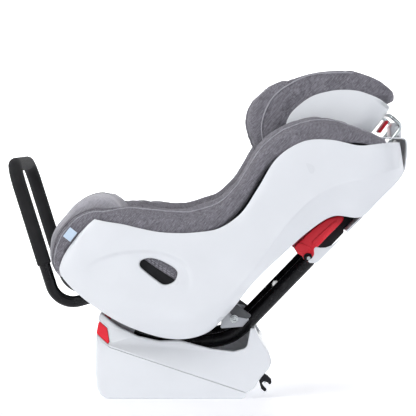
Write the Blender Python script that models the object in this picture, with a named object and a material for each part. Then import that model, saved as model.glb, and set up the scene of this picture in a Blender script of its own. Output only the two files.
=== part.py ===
"""Convertible car seat, shown rear-facing, with a steel anti-rebound bar.

Metres, +Z up.  The child faces -X; Y = 0 is the symmetry plane; the origin is the middle
of the flat bottom.  Outlines are (x, z) pairs seen from the side; "left" is the child's left, -Y.
"""
import math

import bmesh
import bpy
from mathutils import Matrix, Vector

for old in list(bpy.data.objects):
    bpy.data.objects.remove(old, do_unlink=True)

# ---- driving dimensions -------------------------------------------------------------------
GAP = 0.0004                # between pieces that touch
WELD = 0.00001              # merge distance
SIDES = ((-1, "left"), (1, "right"))

SEAT_HALF_WIDTH = 0.215     # outer face of a side shell
SHELL_WALL = 0.0035         # plastic wall of the side shells and the back cover
BUCKET_WALL = 0.004
BUCKET_INSET = 0.019        # from the shell's face to the bucket's rim
BUCKET_EDGE = SEAT_HALF_WIDTH - BUCKET_INSET
BOLSTER_WIDTH = 0.063
PAD_HALF_WIDTH = BUCKET_EDGE - BOLSTER_WIDTH    # seat and back cushions, between the bolsters
PAD_THICKNESS = 0.034
COVER_INSET = 0.055
COVER_HALF_WIDTH = SEAT_HALF_WIDTH - COVER_INSET  # between the rear edges of the side shells
BASE_WALL = 0.006

SEAT_AXIS = (-0.015, 0.312)  # centre of the recline arc
RAIL_RADIUS = 0.203         # centre line of the rails about that axis
FRAME_TUBE_RADIUS = 0.016
FRAME_TUBE_WALL = 0.0020
FRAME_INSET = 0.085         # from the edge of the back cover to a frame tube's centre line
FRAME_TUBE_Y = COVER_HALF_WIDTH - FRAME_INSET

BAR_TUBE_RADIUS = 0.0127
BAR_TUBE_WALL = 0.0018
BAR_SLEEVE_RADIUS = BAR_TUBE_RADIUS + 0.0028
BAR_INSET = 0.043           # from the shell's face to the bar's centre line
BAR_HALF_SPACING = SEAT_HALF_WIDTH - BAR_INSET
BAR_BASE_GAP = 0.0043       # between the bar's ends and the base
BASE_HALF_WIDTH = BAR_HALF_SPACING - BAR_TUBE_RADIUS - BAR_BASE_GAP
BAR_CLEARANCE = 0.0005      # bar in its socket
SOCKET_WALL = 0.0028
BAR_TOP = (-0.350, 0.513)
BAR_CORNER = (-0.254, 0.204)
BAR_RISE = 15.6             # degrees, from the corner into the sockets
BAR_LEG_LENGTH = 0.150      # from the corner to the end inside the socket
SOCKET_LENGTH = 0.080
BAR_BEND = 0.050            # bend radius at the corners
BAR_SLEEVE_START = 0.30     # share of the leg below the sleeve

HEAD_ORIGIN = (0.436, 0.578)  # foot of the headrest's visible back edge
HEAD_ANGLE = 53.5           # degrees from level, the way the headrest slides
HEAD_HALF_WIDTH = PAD_HALF_WIDTH - 0.005
HEAD_WALL = 0.005
HEAD_PAD_SIDE = 0.030
HEAD_PAD_BACK = 0.034

ROD_RADIUS = 0.00425
ROD_HALF_SPACING = HEAD_HALF_WIDTH - 0.028
ROD_CLEARANCE = 0.0008
ROD_SLEEVE_WALL = 0.003
ROD_BEND_POINT = (0.502, 0.598)
ROD_LENGTH = 0.185          # straight run below the bend
ROD_SLEEVE_LENGTH = 0.075

LOCKOFF_PIVOT = (0.293, 0.309)
LOCKOFF_WIDTH = 0.026
LOCKOFF_Y = FRAME_TUBE_Y + FRAME_TUBE_RADIUS + 0.008 + LOCKOFF_WIDTH / 2
PIN_RADIUS = 0.004
PIN_CLEARANCE = 0.0005

STRAP_WIDTH = 0.038
STRAP_THICKNESS = 0.0024
LAP_STRAP_WIDTH = 0.0304
LAP_STRAP_END = 0.050       # from the middle to its end at the buckle
SHOULDER_PAD_WIDTH = 0.058
SHOULDER_PAD_THICKNESS = 0.011
PAD_FOLD = 0.100            # x where the pads start to turn up into the back
PAD_FOLD_LENGTH = 0.120
BUCKLE = (0.024, 0.0, 0.3085)       # harness hardware, on the bare bucket
BUCKLE_TILT = 28.0
ADJUSTER = (-0.076, 0.0, 0.3395)
ADJUSTER_TILT = -31.0
BUTTON_DEPTH = 0.009        # of the pocket that a button is pressed into
BUTTON_PROUD = 0.0008

# side shell: bottom x, z, top x, z, inset of its outer face, how far the bottom edge turns in
SHELL_STATIONS = (
    (-0.187, 0.384, -0.172, 0.397, 0.008, 0.004),
    (-0.215, 0.353, -0.148, 0.392, 0.003, 0.010),
    (-0.243, 0.308, -0.110, 0.386, 0.000, 0.016),
    (-0.243, 0.272, -0.081, 0.379, 0.000, 0.018),
    (-0.187, 0.216, -0.037, 0.370, 0.000, 0.022),
    (-0.103, 0.163, 0.007, 0.367, 0.000, 0.034),
    (-0.009, 0.134, 0.051, 0.369, 0.000, 0.042),
    (0.066, 0.145, 0.098, 0.378, 0.000, 0.042),
    (0.120, 0.193, 0.144, 0.410, 0.000, 0.038),
    (0.174, 0.260, 0.180, 0.463, 0.000, 0.030),
    (0.233, 0.317, 0.221, 0.528, 0.000, 0.026),
    (0.292, 0.370, 0.277, 0.564, 0.000, 0.026),
    (0.345, 0.402, 0.336, 0.568, 0.000, 0.028),
    (0.404, 0.400, 0.395, 0.556, 0.001, 0.030),
    (0.444, 0.436, 0.430, 0.558, 0.005, 0.030),
    (0.474, 0.468, 0.458, 0.562, 0.015, 0.024),
    (0.492, 0.488, 0.478, 0.562, 0.033, 0.014),
    (0.500, 0.499, 0.490, 0.562, 0.0495, 0.000),
)
SHELL_STEPS = 2             # lofted sections per station
HOLE_OVERRUN = 0.010        # how far a cutter reaches past the piece it cuts
HAND_HOLD = (               # opening in each side shell
    (-0.077, 0.300), (-0.065, 0.313), (-0.052, 0.315), (-0.035, 0.312), (-0.015, 0.303), (0.000, 0.294),
    (0.009, 0.280), (0.004, 0.264), (-0.010, 0.254), (-0.028, 0.255), (-0.045, 0.267), (-0.069, 0.286),
)

# inside of the seat: crest of the bolster x, z, top edge of the shell x, z, bucket floor x, z,
# and how much narrower than its full width the seat is there
SEAT_STATIONS = (
    (-0.250, 0.272, -0.244, 0.276, -0.226, 0.281, 0.014),
    (-0.253, 0.308, -0.243, 0.309, -0.222, 0.312, 0.014),
    (-0.237, 0.348, -0.223, 0.341, -0.205, 0.337, 0.012),
    (-0.206, 0.384, -0.197, 0.373, -0.186, 0.358, 0.009),
    (-0.168, 0.404, -0.166, 0.394, -0.164, 0.368, 0.007),
    (-0.128, 0.413, -0.128, 0.389, -0.138, 0.362, 0.002),
    (-0.093, 0.419, -0.081, 0.379, -0.105, 0.344, 0.000),
    (-0.048, 0.415, -0.037, 0.370, -0.056, 0.313, 0.000),
    (-0.004, 0.411, 0.007, 0.367, -0.006, 0.285, 0.000),
    (0.029, 0.410, 0.051, 0.369, 0.040, 0.263, 0.000),
    (0.062, 0.417, 0.098, 0.378, 0.085, 0.250, 0.000),
    (0.099, 0.431, 0.130, 0.398, 0.125, 0.254, 0.000),
    (0.133, 0.464, 0.162, 0.431, 0.158, 0.276, 0.000),
    (0.154, 0.496, 0.180, 0.463, 0.190, 0.308, 0.000),
    (0.187, 0.546, 0.221, 0.528, 0.245, 0.367, 0.000),
    (0.234, 0.585, 0.277, 0.564, 0.300, 0.428, 0.000),
    (0.294, 0.607, 0.336, 0.568, 0.350, 0.484, 0.000),
    (0.348, 0.607, 0.366, 0.564, 0.390, 0.529, 0.000),
    (0.407, 0.588, 0.405, 0.560, 0.420, 0.548, 0.000),
    (0.446, 0.574, 0.443, 0.566, 0.440, 0.556, 0.000),
)
FRONT_ROLL = (              # light-coloured roll and front panel of the seat cover
    (-0.110, 0.404), (-0.133, 0.434), (-0.152, 0.442), (-0.170, 0.444), (-0.193, 0.438), (-0.217, 0.424),
    (-0.240, 0.403), (-0.263, 0.382), (-0.281, 0.350), (-0.286, 0.317), (-0.283, 0.285), (-0.262, 0.254),
    (-0.234, 0.258), (-0.230, 0.300), (-0.214, 0.340), (-0.193, 0.364), (-0.166, 0.3745), (-0.132, 0.3705),
)
FRONT_ROLL_HALF_WIDTH = PAD_HALF_WIDTH + 0.0005

BACK_LINE = ((0.377, 0.3665), (0.411, 0.400), (0.484, 0.4735), (0.498, 0.493), (0.5045, 0.512),
             (0.508, 0.545), (0.507, 0.566), (0.500, 0.572), (0.452, 0.574))
BACK_STRIP = ((0.290, 0.303), (0.310, 0.3005), (0.411, 0.400), (0.404, 0.396), (0.369, 0.363),
              (0.345, 0.342), (0.322, 0.331), (0.304, 0.331))
CROWN = ((0.484, 0.571), (0.482, 0.596), (0.488, 0.606), (0.502, 0.607), (0.507, 0.600), (0.508, 0.560))
CROWN_HALF_WIDTH = 0.045

WEDGE = ((-0.149, 0.000), (0.149, 0.000), (0.1535, 0.004), (0.157, 0.0125), (-0.142, 0.1125),
         (-0.158, 0.124), (-0.1715, 0.1425), (-0.174, 0.112), (-0.1745, 0.055), (-0.171, 0.022),
         (-0.162, 0.006))
HOUSING = ((-0.1418, 0.1133), (0.158, 0.0130), (0.174, 0.023), (0.190, 0.047), (0.208, 0.067), (0.213, 0.082),
           (0.207, 0.102), (0.190, 0.127), (0.176, 0.155), (0.166, 0.155), (0.158, 0.112), (0.130, 0.104),
           (0.082, 0.110), (0.050, 0.118), (0.011, 0.129), (-0.035, 0.128), (-0.080, 0.138), (-0.125, 0.160),
           (-0.161, 0.189), (-0.1655, 0.184), (-0.1715, 0.1435), (-0.158, 0.1248))
TUB = ((-0.150, 0.1235), (0.160, 0.0203), (0.170, 0.028), (0.186, 0.052), (0.202, 0.072), (0.206, 0.083),
       (0.201, 0.098), (0.184, 0.122), (0.170, 0.150), (0.170, 0.240), (-0.160, 0.240), (-0.1640, 0.1460))
HANDLE = ((-0.1715, 0.1445), (-0.1665, 0.172), (-0.148, 0.155), (-0.1435, 0.125), (-0.1460, 0.1205),
          (-0.158, 0.1315))
HANDLE_WALL = 0.009
HANDLE_GAP = 0.0014
HANDLE_DRAW = (-0.725, 0.689)   # the way the handle is pulled, along its pocket

LATCH_Y = BASE_HALF_WIDTH - 0.019
LATCH_ARM = (               # steel arm and hook of one lower-anchor latch, its mouth open to the rear
    (0.120, 0.042), (0.184, 0.042), (0.187, 0.031), (0.190, 0.020), (0.198, 0.013), (0.203, 0.018),
    (0.196, 0.025), (0.191, 0.032), (0.196, 0.037), (0.204, 0.034), (0.209, 0.028), (0.213, 0.034),
    (0.212, 0.041), (0.204, 0.049), (0.196, 0.054), (0.186, 0.054), (0.180, 0.052), (0.120, 0.052))
LATCH_THICKNESS = 0.012
LATCH_CLEARANCE = 0.0025    # arm in its slot
LATCH_PIVOT = (0.200, 0.0455)
LATCH_JAW = ((0.195, 0.049), (0.204, 0.050), (0.2065, 0.043), (0.200, 0.030), (0.195, 0.0305), (0.197, 0.041))

RACK_INNER, RACK_OUTER = 0.182, 0.213
RACK_FIRST, RACK_LAST = 227.5, 246.0   # degrees round the seat axis
RACK_THICKNESS = 0.005
RACK_Y = FRAME_TUBE_Y + FRAME_TUBE_RADIUS + 0.010
RACK_DIP = 0.0025           # depth of the seats for the lock bar in the notch's floor
LOCK_BAR_RADIUS = 0.004
LOCK_BAR_CLEARANCE = 0.0007
LOCK_BAR_ANGLE = 240.0      # degrees round the seat axis
LOCK_BAR_ORBIT = 0.209
RECLINE_STEP = 5.0          # degrees between recline positions
RECLINE_POSITIONS = 3

PALETTE = {
    "shell_white": ((0.86, 0.88, 0.90), 0.28, 0.0),
    "inner_plastic": ((0.10, 0.10, 0.11), 0.55, 0.0),
    "grey_plastic": ((0.30, 0.31, 0.33), 0.55, 0.0),
    "red_plastic": ((0.62, 0.02, 0.03), 0.35, 0.0),
    "fabric_grey": ((0.17, 0.17, 0.19), 0.95, 0.0),
    "fabric_dark": ((0.11, 0.11, 0.125), 0.95, 0.0),
    "fabric_light": ((0.36, 0.36, 0.40), 0.95, 0.0),
    "webbing": ((0.05, 0.05, 0.055), 0.85, 0.0),
    "black_tube": ((0.012, 0.012, 0.013), 0.25, 0.0),
    "black_foam": ((0.02, 0.02, 0.02), 0.9, 0.0),
    "steel": ((0.62, 0.64, 0.64), 0.25, 1.0),
    "aluminium": ((0.60, 0.61, 0.63), 0.40, 1.0),
}

parts = bpy.data.collections.new("convertible_car_seat")
cutters = bpy.data.collections.new("cutters")
for collection in (parts, cutters):
    bpy.context.scene.collection.children.link(collection)


# ---- helpers ------------------------------------------------------------------------------
def material(finish):
    """The Principled material of one palette entry, made on first use."""
    if finish in bpy.data.materials:
        return bpy.data.materials[finish]
    colour, roughness, metallic = PALETTE[finish]
    made = bpy.data.materials.new(finish)
    made.use_nodes = True
    shader = made.node_tree.nodes["Principled BSDF"]
    shader.inputs["Base Color"].default_value = (*colour, 1.0)
    shader.inputs["Roughness"].default_value = roughness
    shader.inputs["Metallic"].default_value = metallic
    return made


def joint(name, point):
    """An empty on a joint's axis, which carries the pieces that move with it."""
    empty = bpy.data.objects.new(name, None)
    empty.location = point
    parts.objects.link(empty)
    return empty


def place(obj, finish, parent):
    """Link a finished object, give it its material and hang it on its joint's empty."""
    obj.data.materials.clear()
    obj.data.materials.append(material(finish))
    obj.parent = parent
    obj.matrix_parent_inverse = Matrix.Translation(-parent.location)
    parts.objects.link(obj)
    return obj


def mesh_object(name, bm):
    """An object from a bmesh, welded and with its faces pointing out."""
    bmesh.ops.remove_doubles(bm, verts=bm.verts, dist=WELD)
    bmesh.ops.recalc_face_normals(bm, faces=bm.faces)
    mesh = bpy.data.meshes.new(name)
    bm.to_mesh(mesh)
    bm.free()
    mesh.shade_smooth()
    mesh.set_sharp_from_angle(angle=math.radians(35))
    return bpy.data.objects.new(name, mesh)


def curve_to_mesh(name, curve, matrix):
    """The welded mesh object of a curve that stands at the given matrix."""
    holder = bpy.data.objects.new(name + "_curve", curve)
    bpy.context.scene.collection.objects.link(holder)
    graph = bpy.context.evaluated_depsgraph_get()
    mesh = bpy.data.meshes.new_from_object(holder.evaluated_get(graph))
    bm = bmesh.new()
    bm.from_mesh(mesh)
    bpy.data.objects.remove(holder)
    bpy.data.curves.remove(curve)
    obj = mesh_object(name, bm)
    obj.matrix_world = matrix
    return obj


def slab(name, outline, y_from, y_to):
    """A side outline made solid between two y planes."""
    curve = bpy.data.curves.new(name, "CURVE")
    curve.dimensions = "2D"
    curve.fill_mode = "BOTH"
    curve.extrude = abs(y_to - y_from) / 2
    spline = curve.splines.new("POLY")
    spline.points.add(len(outline) - 1)
    for point, (x, z) in zip(spline.points, outline):
        point.co = (x, z, 0.0, 1.0)
    spline.use_cyclic_u = True
    upright = Matrix.Translation((0.0, (y_from + y_to) / 2, 0.0)) @ Matrix.Rotation(math.pi / 2, 4, "X")
    return curve_to_mesh(name, curve, upright)


def tube(name, points, radius, resolution=3):
    """A round bar or tube along a list of points."""
    curve = bpy.data.curves.new(name, "CURVE")
    curve.dimensions = "3D"
    curve.bevel_depth = radius
    curve.bevel_resolution = resolution
    curve.use_fill_caps = True
    spline = curve.splines.new("POLY")
    spline.points.add(len(points) - 1)
    for point, place_at in zip(spline.points, points):
        point.co = (*place_at, 1.0)
    return curve_to_mesh(name, curve, Matrix.Identity(4))


def hollow_tube(name, points, radius, wall):
    """A bent tube, open at both ends."""
    points = [Vector(point) for point in points]
    longer = [points[0] + (points[0] - points[1]).normalized() * radius, *points[1:-1],
              points[-1] + (points[-1] - points[-2]).normalized() * radius]
    return boolean(tube(name, points, radius), [tube(name + "_bore", longer, radius - wall, 2)])


def rod(name, start, end, radius, segments=16):
    """A straight cylinder between two points."""
    start, end = Vector(start), Vector(end)
    bm = bmesh.new()
    bmesh.ops.create_cone(bm, cap_ends=True, segments=segments, radius1=radius, radius2=radius,
                          depth=(end - start).length)
    obj = mesh_object(name, bm)
    obj.location = (start + end) / 2
    obj.rotation_euler = (end - start).to_track_quat("Z", "Y").to_euler()
    return obj


def block(name, centre, size, tilt=0.0, edge=0.0):
    """A box, tilted about Y by some degrees, its edges rounded by `edge`."""
    bm = bmesh.new()
    bmesh.ops.create_cube(bm, size=1.0)
    bmesh.ops.scale(bm, vec=size, verts=bm.verts)
    if edge:
        bmesh.ops.bevel(bm, geom=list(bm.edges), offset=edge, segments=2, profile=0.5,
                        affect="EDGES", material=-1)
    obj = mesh_object(name, bm)
    obj.location = centre
    obj.rotation_euler = (0.0, math.radians(-tilt), 0.0)
    return obj


def loft(name, rings):
    """A solid skin over closed rings of equal point counts, capped at both ends."""
    bm = bmesh.new()
    loops = [[bm.verts.new(point) for point in ring] for ring in rings]
    for near, far in zip(loops, loops[1:]):
        for i in range(len(near)):
            j = (i + 1) % len(near)
            bm.faces.new((near[i], near[j], far[j], far[i]))
    bm.faces.new(loops[0][::-1])
    bm.faces.new(loops[-1])
    return mesh_object(name, bm)


def boolean(obj, others, operation="DIFFERENCE"):
    """Cut or join other meshes into an object, exactly."""
    for other in others:
        cutters.objects.link(other)
        other.hide_render = True
        other.display_type = "WIRE"
        change = obj.modifiers.new(other.name, "BOOLEAN")
        change.operation = operation
        change.solver = "EXACT"
        change.object = other
    return obj


def smooth(rows, steps):
    """Catmull-Rom rows between and through the given rows."""
    result = []
    for i in range(len(rows) - 1):
        before, here = rows[max(i - 1, 0)], rows[i]
        there, after = rows[i + 1], rows[min(i + 2, len(rows) - 1)]
        for k in range(steps):
            t = k / steps
            result.append(tuple(
                0.5 * (2 * b + (c - a) * t + (2 * a - 5 * b + 4 * c - d) * t ** 2
                       + (3 * b - a - 3 * c + d) * t ** 3)
                for a, b, c, d in zip(before, here, there, after)))
    result.append(tuple(rows[-1]))
    return result


def polar(centre, radius, degrees):
    """The point at an angle round a centre seen from the side, from +X towards +Z."""
    angle = math.radians(degrees)
    return (centre[0] + radius * math.cos(angle), centre[1] + radius * math.sin(angle))


def arc(centre, radius, first, last, count):
    """Points on an arc, its angles in degrees as in polar()."""
    return [polar(centre, radius, first + (last - first) * i / (count - 1)) for i in range(count)]


def offset(line, distance):
    """A line of (a, b) points moved to its left by a distance."""
    moved = []
    for i, (a, b) in enumerate(line):
        before, after = line[max(i - 1, 0)], line[min(i + 1, len(line) - 1)]
        run = Vector((after[0] - before[0], after[1] - before[1])).normalized()
        moved.append((a - run.y * distance, b + run.x * distance))
    return moved


def offset_closed(outline, distance):
    """A closed outline grown outwards by a distance, whichever way it runs."""
    count = len(outline)
    area = sum(outline[i][0] * outline[(i + 1) % count][1] - outline[(i + 1) % count][0] * outline[i][1]
               for i in range(count))
    sign = -1 if area > 0 else 1
    wrapped = [outline[-1]] + list(outline) + [outline[0]]
    return offset(wrapped, sign * distance)[1:-1]


def rounded(points, radius, count=5):
    """A 3-D polyline whose inner corners are bends of one radius."""
    points = [Vector(point) for point in points]
    result = [points[0]]
    for before, here, after in zip(points, points[1:], points[2:]):
        into, out = (before - here).normalized(), (after - here).normalized()
        half = into.angle(out) / 2
        reach = radius / math.tan(half)
        centre = here + (into + out).normalized() * (radius / math.sin(half))
        first = (here + into * reach - centre).normalized()
        last = (here + out * reach - centre).normalized()
        result += [centre + first.slerp(last, i / (count - 1)) * radius for i in range(count)]
    return result + [points[-1]]


def between(start, end, t):
    return tuple(a + (b - a) * t for a, b in zip(start, end))


# ---- seat: shells, bucket and cushions ----------------------------------------------------
def shell_ring(station, side):
    """One thin closed section of a side shell, from its bottom edge to its top edge."""
    x0, z0, x1, z1, inset, turn_in = station
    y_out = SEAT_HALF_WIDTH - inset
    length = math.hypot(x1 - x0, z1 - z0)
    turn_top = min(0.007, 0.25 * length)
    outer = []
    for t in (0.0, 0.04, 0.10, 0.18, 0.30, 0.55, 0.82, 0.93, 1.0):
        low, high = max(0.0, 1 - t / 0.30), max(0.0, (t - 0.82) / 0.18)
        outer.append((t * length, y_out - turn_in * low ** 2.2 - turn_top * high ** 2))
    inner = offset(outer, -SHELL_WALL)
    run = ((x1 - x0) / length, (z1 - z0) / length)
    return [(x0 + run[0] * r, side * y, z0 + run[1] * r) for r, y in outer + inner[::-1]]


def side_shell(side, label, parent):
    name = "side_shell_" + label
    shell = loft(name, [shell_ring(s, side) for s in smooth(SHELL_STATIONS, SHELL_STEPS)])
    hole = slab(name + "_hand_hold", HAND_HOLD, side * BUCKET_EDGE, side * (SEAT_HALF_WIDTH + HOLE_OVERRUN))
    return place(boolean(shell, [hole]), "shell_white", parent)


def section_frame(station):
    """Floor point, direction to the crest, crest height and shell-edge height of a seat station."""
    crest, rim, floor = Vector(station[0:2]), Vector(station[2:4]), Vector(station[4:6])
    up = (crest - floor).normalized()
    return floor, up, (crest - floor).length, max((rim - floor).dot(up), 0.004)


def bucket_line(rim, edge):
    """Upper face of the bucket's right half, from the middle out to its edge, as (y, height)."""
    return [(0.45 * PAD_HALF_WIDTH, 0.0), (PAD_HALF_WIDTH - 0.015, 0.0), (PAD_HALF_WIDTH + 0.009, 0.04 * rim),
            (edge - 0.028, 0.24 * rim),
            (edge - 0.010, 0.55 * rim), (edge, rim * 0.90)]


def bucket_ring(station):
    floor, up, _, rim = section_frame(station)
    half = bucket_line(rim, BUCKET_EDGE - station[6])
    top = [(-y, r) for y, r in half[::-1]] + half
    under = offset(top, -BUCKET_WALL)
    return [(floor.x + up.x * r, y, floor.y + up.y * r) for y, r in top + under[::-1]]


def bolster_ring(station, side):
    floor, up, crest, rim = section_frame(station)
    edge = BUCKET_EDGE - station[6]
    on_bucket = [(y - 0.0016, r + 0.0020) for y, r in bucket_line(rim, edge)[3:]]
    pad = min(PAD_THICKNESS, 0.5 * crest)
    bulge = 0.10 * crest
    ring = [(PAD_HALF_WIDTH + 0.002, 0.04 * rim + 0.0015)] + on_bucket
    ring += [(edge + 0.0055, rim * 0.92 + 0.003), (edge + 0.0085, rim + 0.002),
             (edge + 0.004, rim + 0.6 * (crest - rim) + 0.002), (edge - 0.006, crest + 0.003),
             (edge - 0.020, crest + bulge), (edge - 0.036, crest + 0.8 * bulge),
             (PAD_HALF_WIDTH + 0.014, 0.78 * crest),
             (PAD_HALF_WIDTH + 0.006, 0.45 * crest + 0.2 * pad), (PAD_HALF_WIDTH + 0.002, pad)]
    return [(floor.x + up.x * r, side * y, floor.y + up.y * r) for y, r in ring]


def cushion_ring(station, thickness):
    """A pad's closed section on the bucket floor, its top edges rounded."""
    floor, up, _, _ = section_frame(station)
    half = PAD_HALF_WIDTH
    ring = [(0.015 - half, 0.001), (half - 0.015, 0.001), (half, 0.006), (half, thickness * 0.7),
            (half - 0.008, thickness), (0.0, thickness), (0.008 - half, thickness),
            (-half, thickness * 0.7), (-half, 0.006)]
    return [(floor.x + up.x * r, y, floor.y + up.y * r) for y, r in ring]


def pads(parent):
    """Bucket, front roll, seat and back cushions and the two bolsters."""
    stations = smooth(SEAT_STATIONS, 2)
    place(loft("seat_bucket", [bucket_ring(s) for s in stations]), "inner_plastic", parent)
    for name, first, last in (("seat_cushion", 12, 22), ("back_cushion", 23, 34)):
        rings = [cushion_ring(station, PAD_THICKNESS) for station in stations[first:last]]
        place(loft(name, rings), "fabric_dark", parent)
    roll = slab("front_roll", FRONT_ROLL, -FRONT_ROLL_HALF_WIDTH, FRONT_ROLL_HALF_WIDTH)
    place(roll, "fabric_light", parent)
    for side, label in SIDES:
        rings = [bolster_ring(s, side) for s in stations[1:-1]]
        place(loft("bolster_" + label, rings), "fabric_grey", parent)


def back_cover(parent):
    """Rear panel with its side strips, top deck and raised crown, in one moulding."""
    inner = offset(BACK_LINE, SHELL_WALL)
    cover = slab("back_cover", list(BACK_LINE) + inner[::-1], -COVER_HALF_WIDTH, COVER_HALF_WIDTH)
    inside = COVER_HALF_WIDTH - SHELL_WALL
    strips = [slab("strip_" + label, BACK_STRIP, side * COVER_HALF_WIDTH, side * inside)
              for side, label in SIDES]
    crown = slab("crown", CROWN, -CROWN_HALF_WIDTH, CROWN_HALF_WIDTH)
    boolean(cover, strips + [crown], "UNION")
    slots = [block("rod_slot_" + label, (0.476, side * ROD_HALF_SPACING, 0.574), (0.034, 0.016, 0.020))
             for side, label in SIDES]
    return place(boolean(cover, slots), "shell_white", parent)


# ---- seat: steel frame --------------------------------------------------------------------
def frame_tubes(parent):
    """Two steel tubes: down the back, round a bend and forward as the recline rails."""
    rails = arc(SEAT_AXIS, RAIL_RADIUS, 245, 285, 9)
    rear_face = [(0.4634, 0.4648), (0.4059, 0.4063), (0.3423, 0.3298), (0.3074, 0.2869)]
    down = offset(rear_face, -FRAME_TUBE_RADIUS)
    bend = [(0.179, 0.177), (0.152, 0.150), (0.122, 0.129), (0.086, 0.119)]
    side_line = rails + bend[::-1] + down[::-1]
    for side, label in SIDES:
        points = [(x, side * FRAME_TUBE_Y, z) for x, z in side_line]
        frame = hollow_tube("frame_tube_" + label, points, FRAME_TUBE_RADIUS, FRAME_TUBE_WALL)
        place(frame, "black_tube", parent)
    inner = FRAME_TUBE_Y - FRAME_TUBE_RADIUS - GAP
    cross = rod("frame_cross_tube", (0.232, -inner, 0.232), (0.232, inner, 0.232), 0.0125)
    place(cross, "black_tube", parent)


def frame_guards(parent):
    """Guard plates beside the tubes, the steel brackets they hide and one bolt each."""
    guard = ((0.135, 0.204), (0.170, 0.176), (0.150, 0.156), (0.118, 0.150), (0.098, 0.160), (0.112, 0.184))
    bracket = ((0.100, 0.148), (0.150, 0.152), (0.164, 0.168), (0.158, 0.182), (0.128, 0.188), (0.104, 0.172))
    outer = FRAME_TUBE_Y + FRAME_TUBE_RADIUS + GAP
    for side, label in SIDES:
        plate = slab("frame_bracket_" + label, bracket, side * outer, side * (outer + 0.004))
        place(plate, "aluminium", parent)
        cover = slab("frame_guard_" + label, guard, side * (outer + 0.006), side * (outer + 0.012))
        place(cover, "grey_plastic", parent)
        bolt = rod("bracket_bolt_" + label, (0.131, side * (outer + 0.0125), 0.170),
                   (0.131, side * (outer + 0.0185), 0.170), 0.008, 6)
        place(bolt, "steel", parent)


def rod_sleeves(parent):
    """Guide sleeves inside the back that the headrest rods run in."""
    run = Vector((math.cos(math.radians(HEAD_ANGLE)), 0.0, math.sin(math.radians(HEAD_ANGLE))))
    bore = ROD_RADIUS + ROD_CLEARANCE
    for side, label in SIDES:
        top = Vector((ROD_BEND_POINT[0], side * ROD_HALF_SPACING, ROD_BEND_POINT[1])) - run * 0.075
        foot = top - run * ROD_SLEEVE_LENGTH
        sleeve = rod("rod_sleeve_" + label, foot, top, bore + ROD_SLEEVE_WALL)
        hole = rod("rod_bore_" + label, foot - run * 0.01, top + run * 0.01, bore)
        place(boolean(sleeve, [hole]), "grey_plastic", parent)


def bar_path():
    """Centre line of the anti-rebound bar, from one socket end to the other."""
    rise = math.radians(BAR_RISE)
    end = (BAR_CORNER[0] + BAR_LEG_LENGTH * math.cos(rise), BAR_CORNER[1] + BAR_LEG_LENGTH * math.sin(rise))
    side_points = (end, BAR_CORNER, BAR_TOP)
    path = [(x, -BAR_HALF_SPACING, z) for x, z in side_points]
    path += [(x, BAR_HALF_SPACING, z) for x, z in side_points[::-1]]
    return path


def bar_sockets(parent):
    """Steel sockets under the seat that the bar's ends plug into."""
    path = bar_path()
    radius = BAR_TUBE_RADIUS + BAR_CLEARANCE
    for (side, label), end, corner in zip(SIDES, (path[0], path[-1]), (path[1], path[-2])):
        end, corner = Vector(end), Vector(corner)
        run = (end - corner).normalized()
        foot = end - run * (SOCKET_LENGTH - 0.010)
        socket = rod("bar_socket_" + label, foot, end + run * 0.010, radius + SOCKET_WALL)
        bore = rod("bar_bore_" + label, foot - run * 0.01, end + run * 0.005, radius)
        place(boolean(socket, [bore]), "black_tube", parent)


# ---- pieces that move on the seat ---------------------------------------------------------
def rebound_bar(parent):
    """The bent steel tube and the sleeve round its upper part."""
    bar = hollow_tube("rebound_bar_tube", rounded(bar_path(), BAR_BEND), BAR_TUBE_RADIUS, BAR_TUBE_WALL)
    place(bar, "black_tube", parent)
    sleeve = tube("rebound_bar_sleeve", sleeve_path(BAR_SLEEVE_START), BAR_SLEEVE_RADIUS)
    bore = tube("sleeve_bore", sleeve_path(BAR_SLEEVE_START - 0.05), BAR_TUBE_RADIUS + GAP)
    place(boolean(sleeve, [bore]), "black_foam", parent)


def sleeve_path(start):
    """The bar's bent centre line above a share of its leg."""
    x, z = between(BAR_CORNER, BAR_TOP, start)
    corners = [(x, -BAR_HALF_SPACING, z), (BAR_TOP[0], -BAR_HALF_SPACING, BAR_TOP[1])]
    corners += [(corner[0], BAR_HALF_SPACING, corner[2]) for corner in corners[::-1]]
    return rounded(corners, BAR_BEND)


def lockoffs(seat, pivots):
    """Red belt lock-off levers on pins beside the frame tubes."""
    x, z = LOCKOFF_PIVOT
    arm = [(x - 0.010, z - 0.006), (x + 0.002, z - 0.011), (x + 0.012, z - 0.002), (x + 0.034, z + 0.020),
           (x + 0.060, z + 0.052), (x + 0.086, z + 0.086), (x + 0.082, z + 0.094), (x + 0.062, z + 0.078),
           (x + 0.036, z + 0.052), (x + 0.006, z + 0.030), (x - 0.006, z + 0.014)]
    for (side, label), pivot in zip(SIDES, pivots):
        inner, outer = side * (LOCKOFF_Y - LOCKOFF_WIDTH / 2), side * (LOCKOFF_Y + LOCKOFF_WIDTH / 2)
        lever = slab("lockoff_lever_" + label, arm, inner, outer)
        hole = rod("lockoff_bore_" + label, (x, inner - side * 0.01, z), (x, outer + side * 0.01, z),
                   PIN_RADIUS + PIN_CLEARANCE)
        place(boolean(lever, [hole]), "red_plastic", pivot)
        pin = rod("lockoff_pin_" + label, (x, side * (FRAME_TUBE_Y + FRAME_TUBE_RADIUS + 2 * GAP), z),
                  (x, side * (COVER_HALF_WIDTH - SHELL_WALL - GAP), z), PIN_RADIUS)
        place(pin, "steel", seat)


def head_point(u, w, y):
    """World point of the headrest's own axes: u along the slide, w forward of the back edge."""
    a = math.radians(HEAD_ANGLE)
    return (HEAD_ORIGIN[0] + u * math.cos(a) - w * math.sin(a), y,
            HEAD_ORIGIN[1] + u * math.sin(a) + w * math.cos(a))


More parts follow.
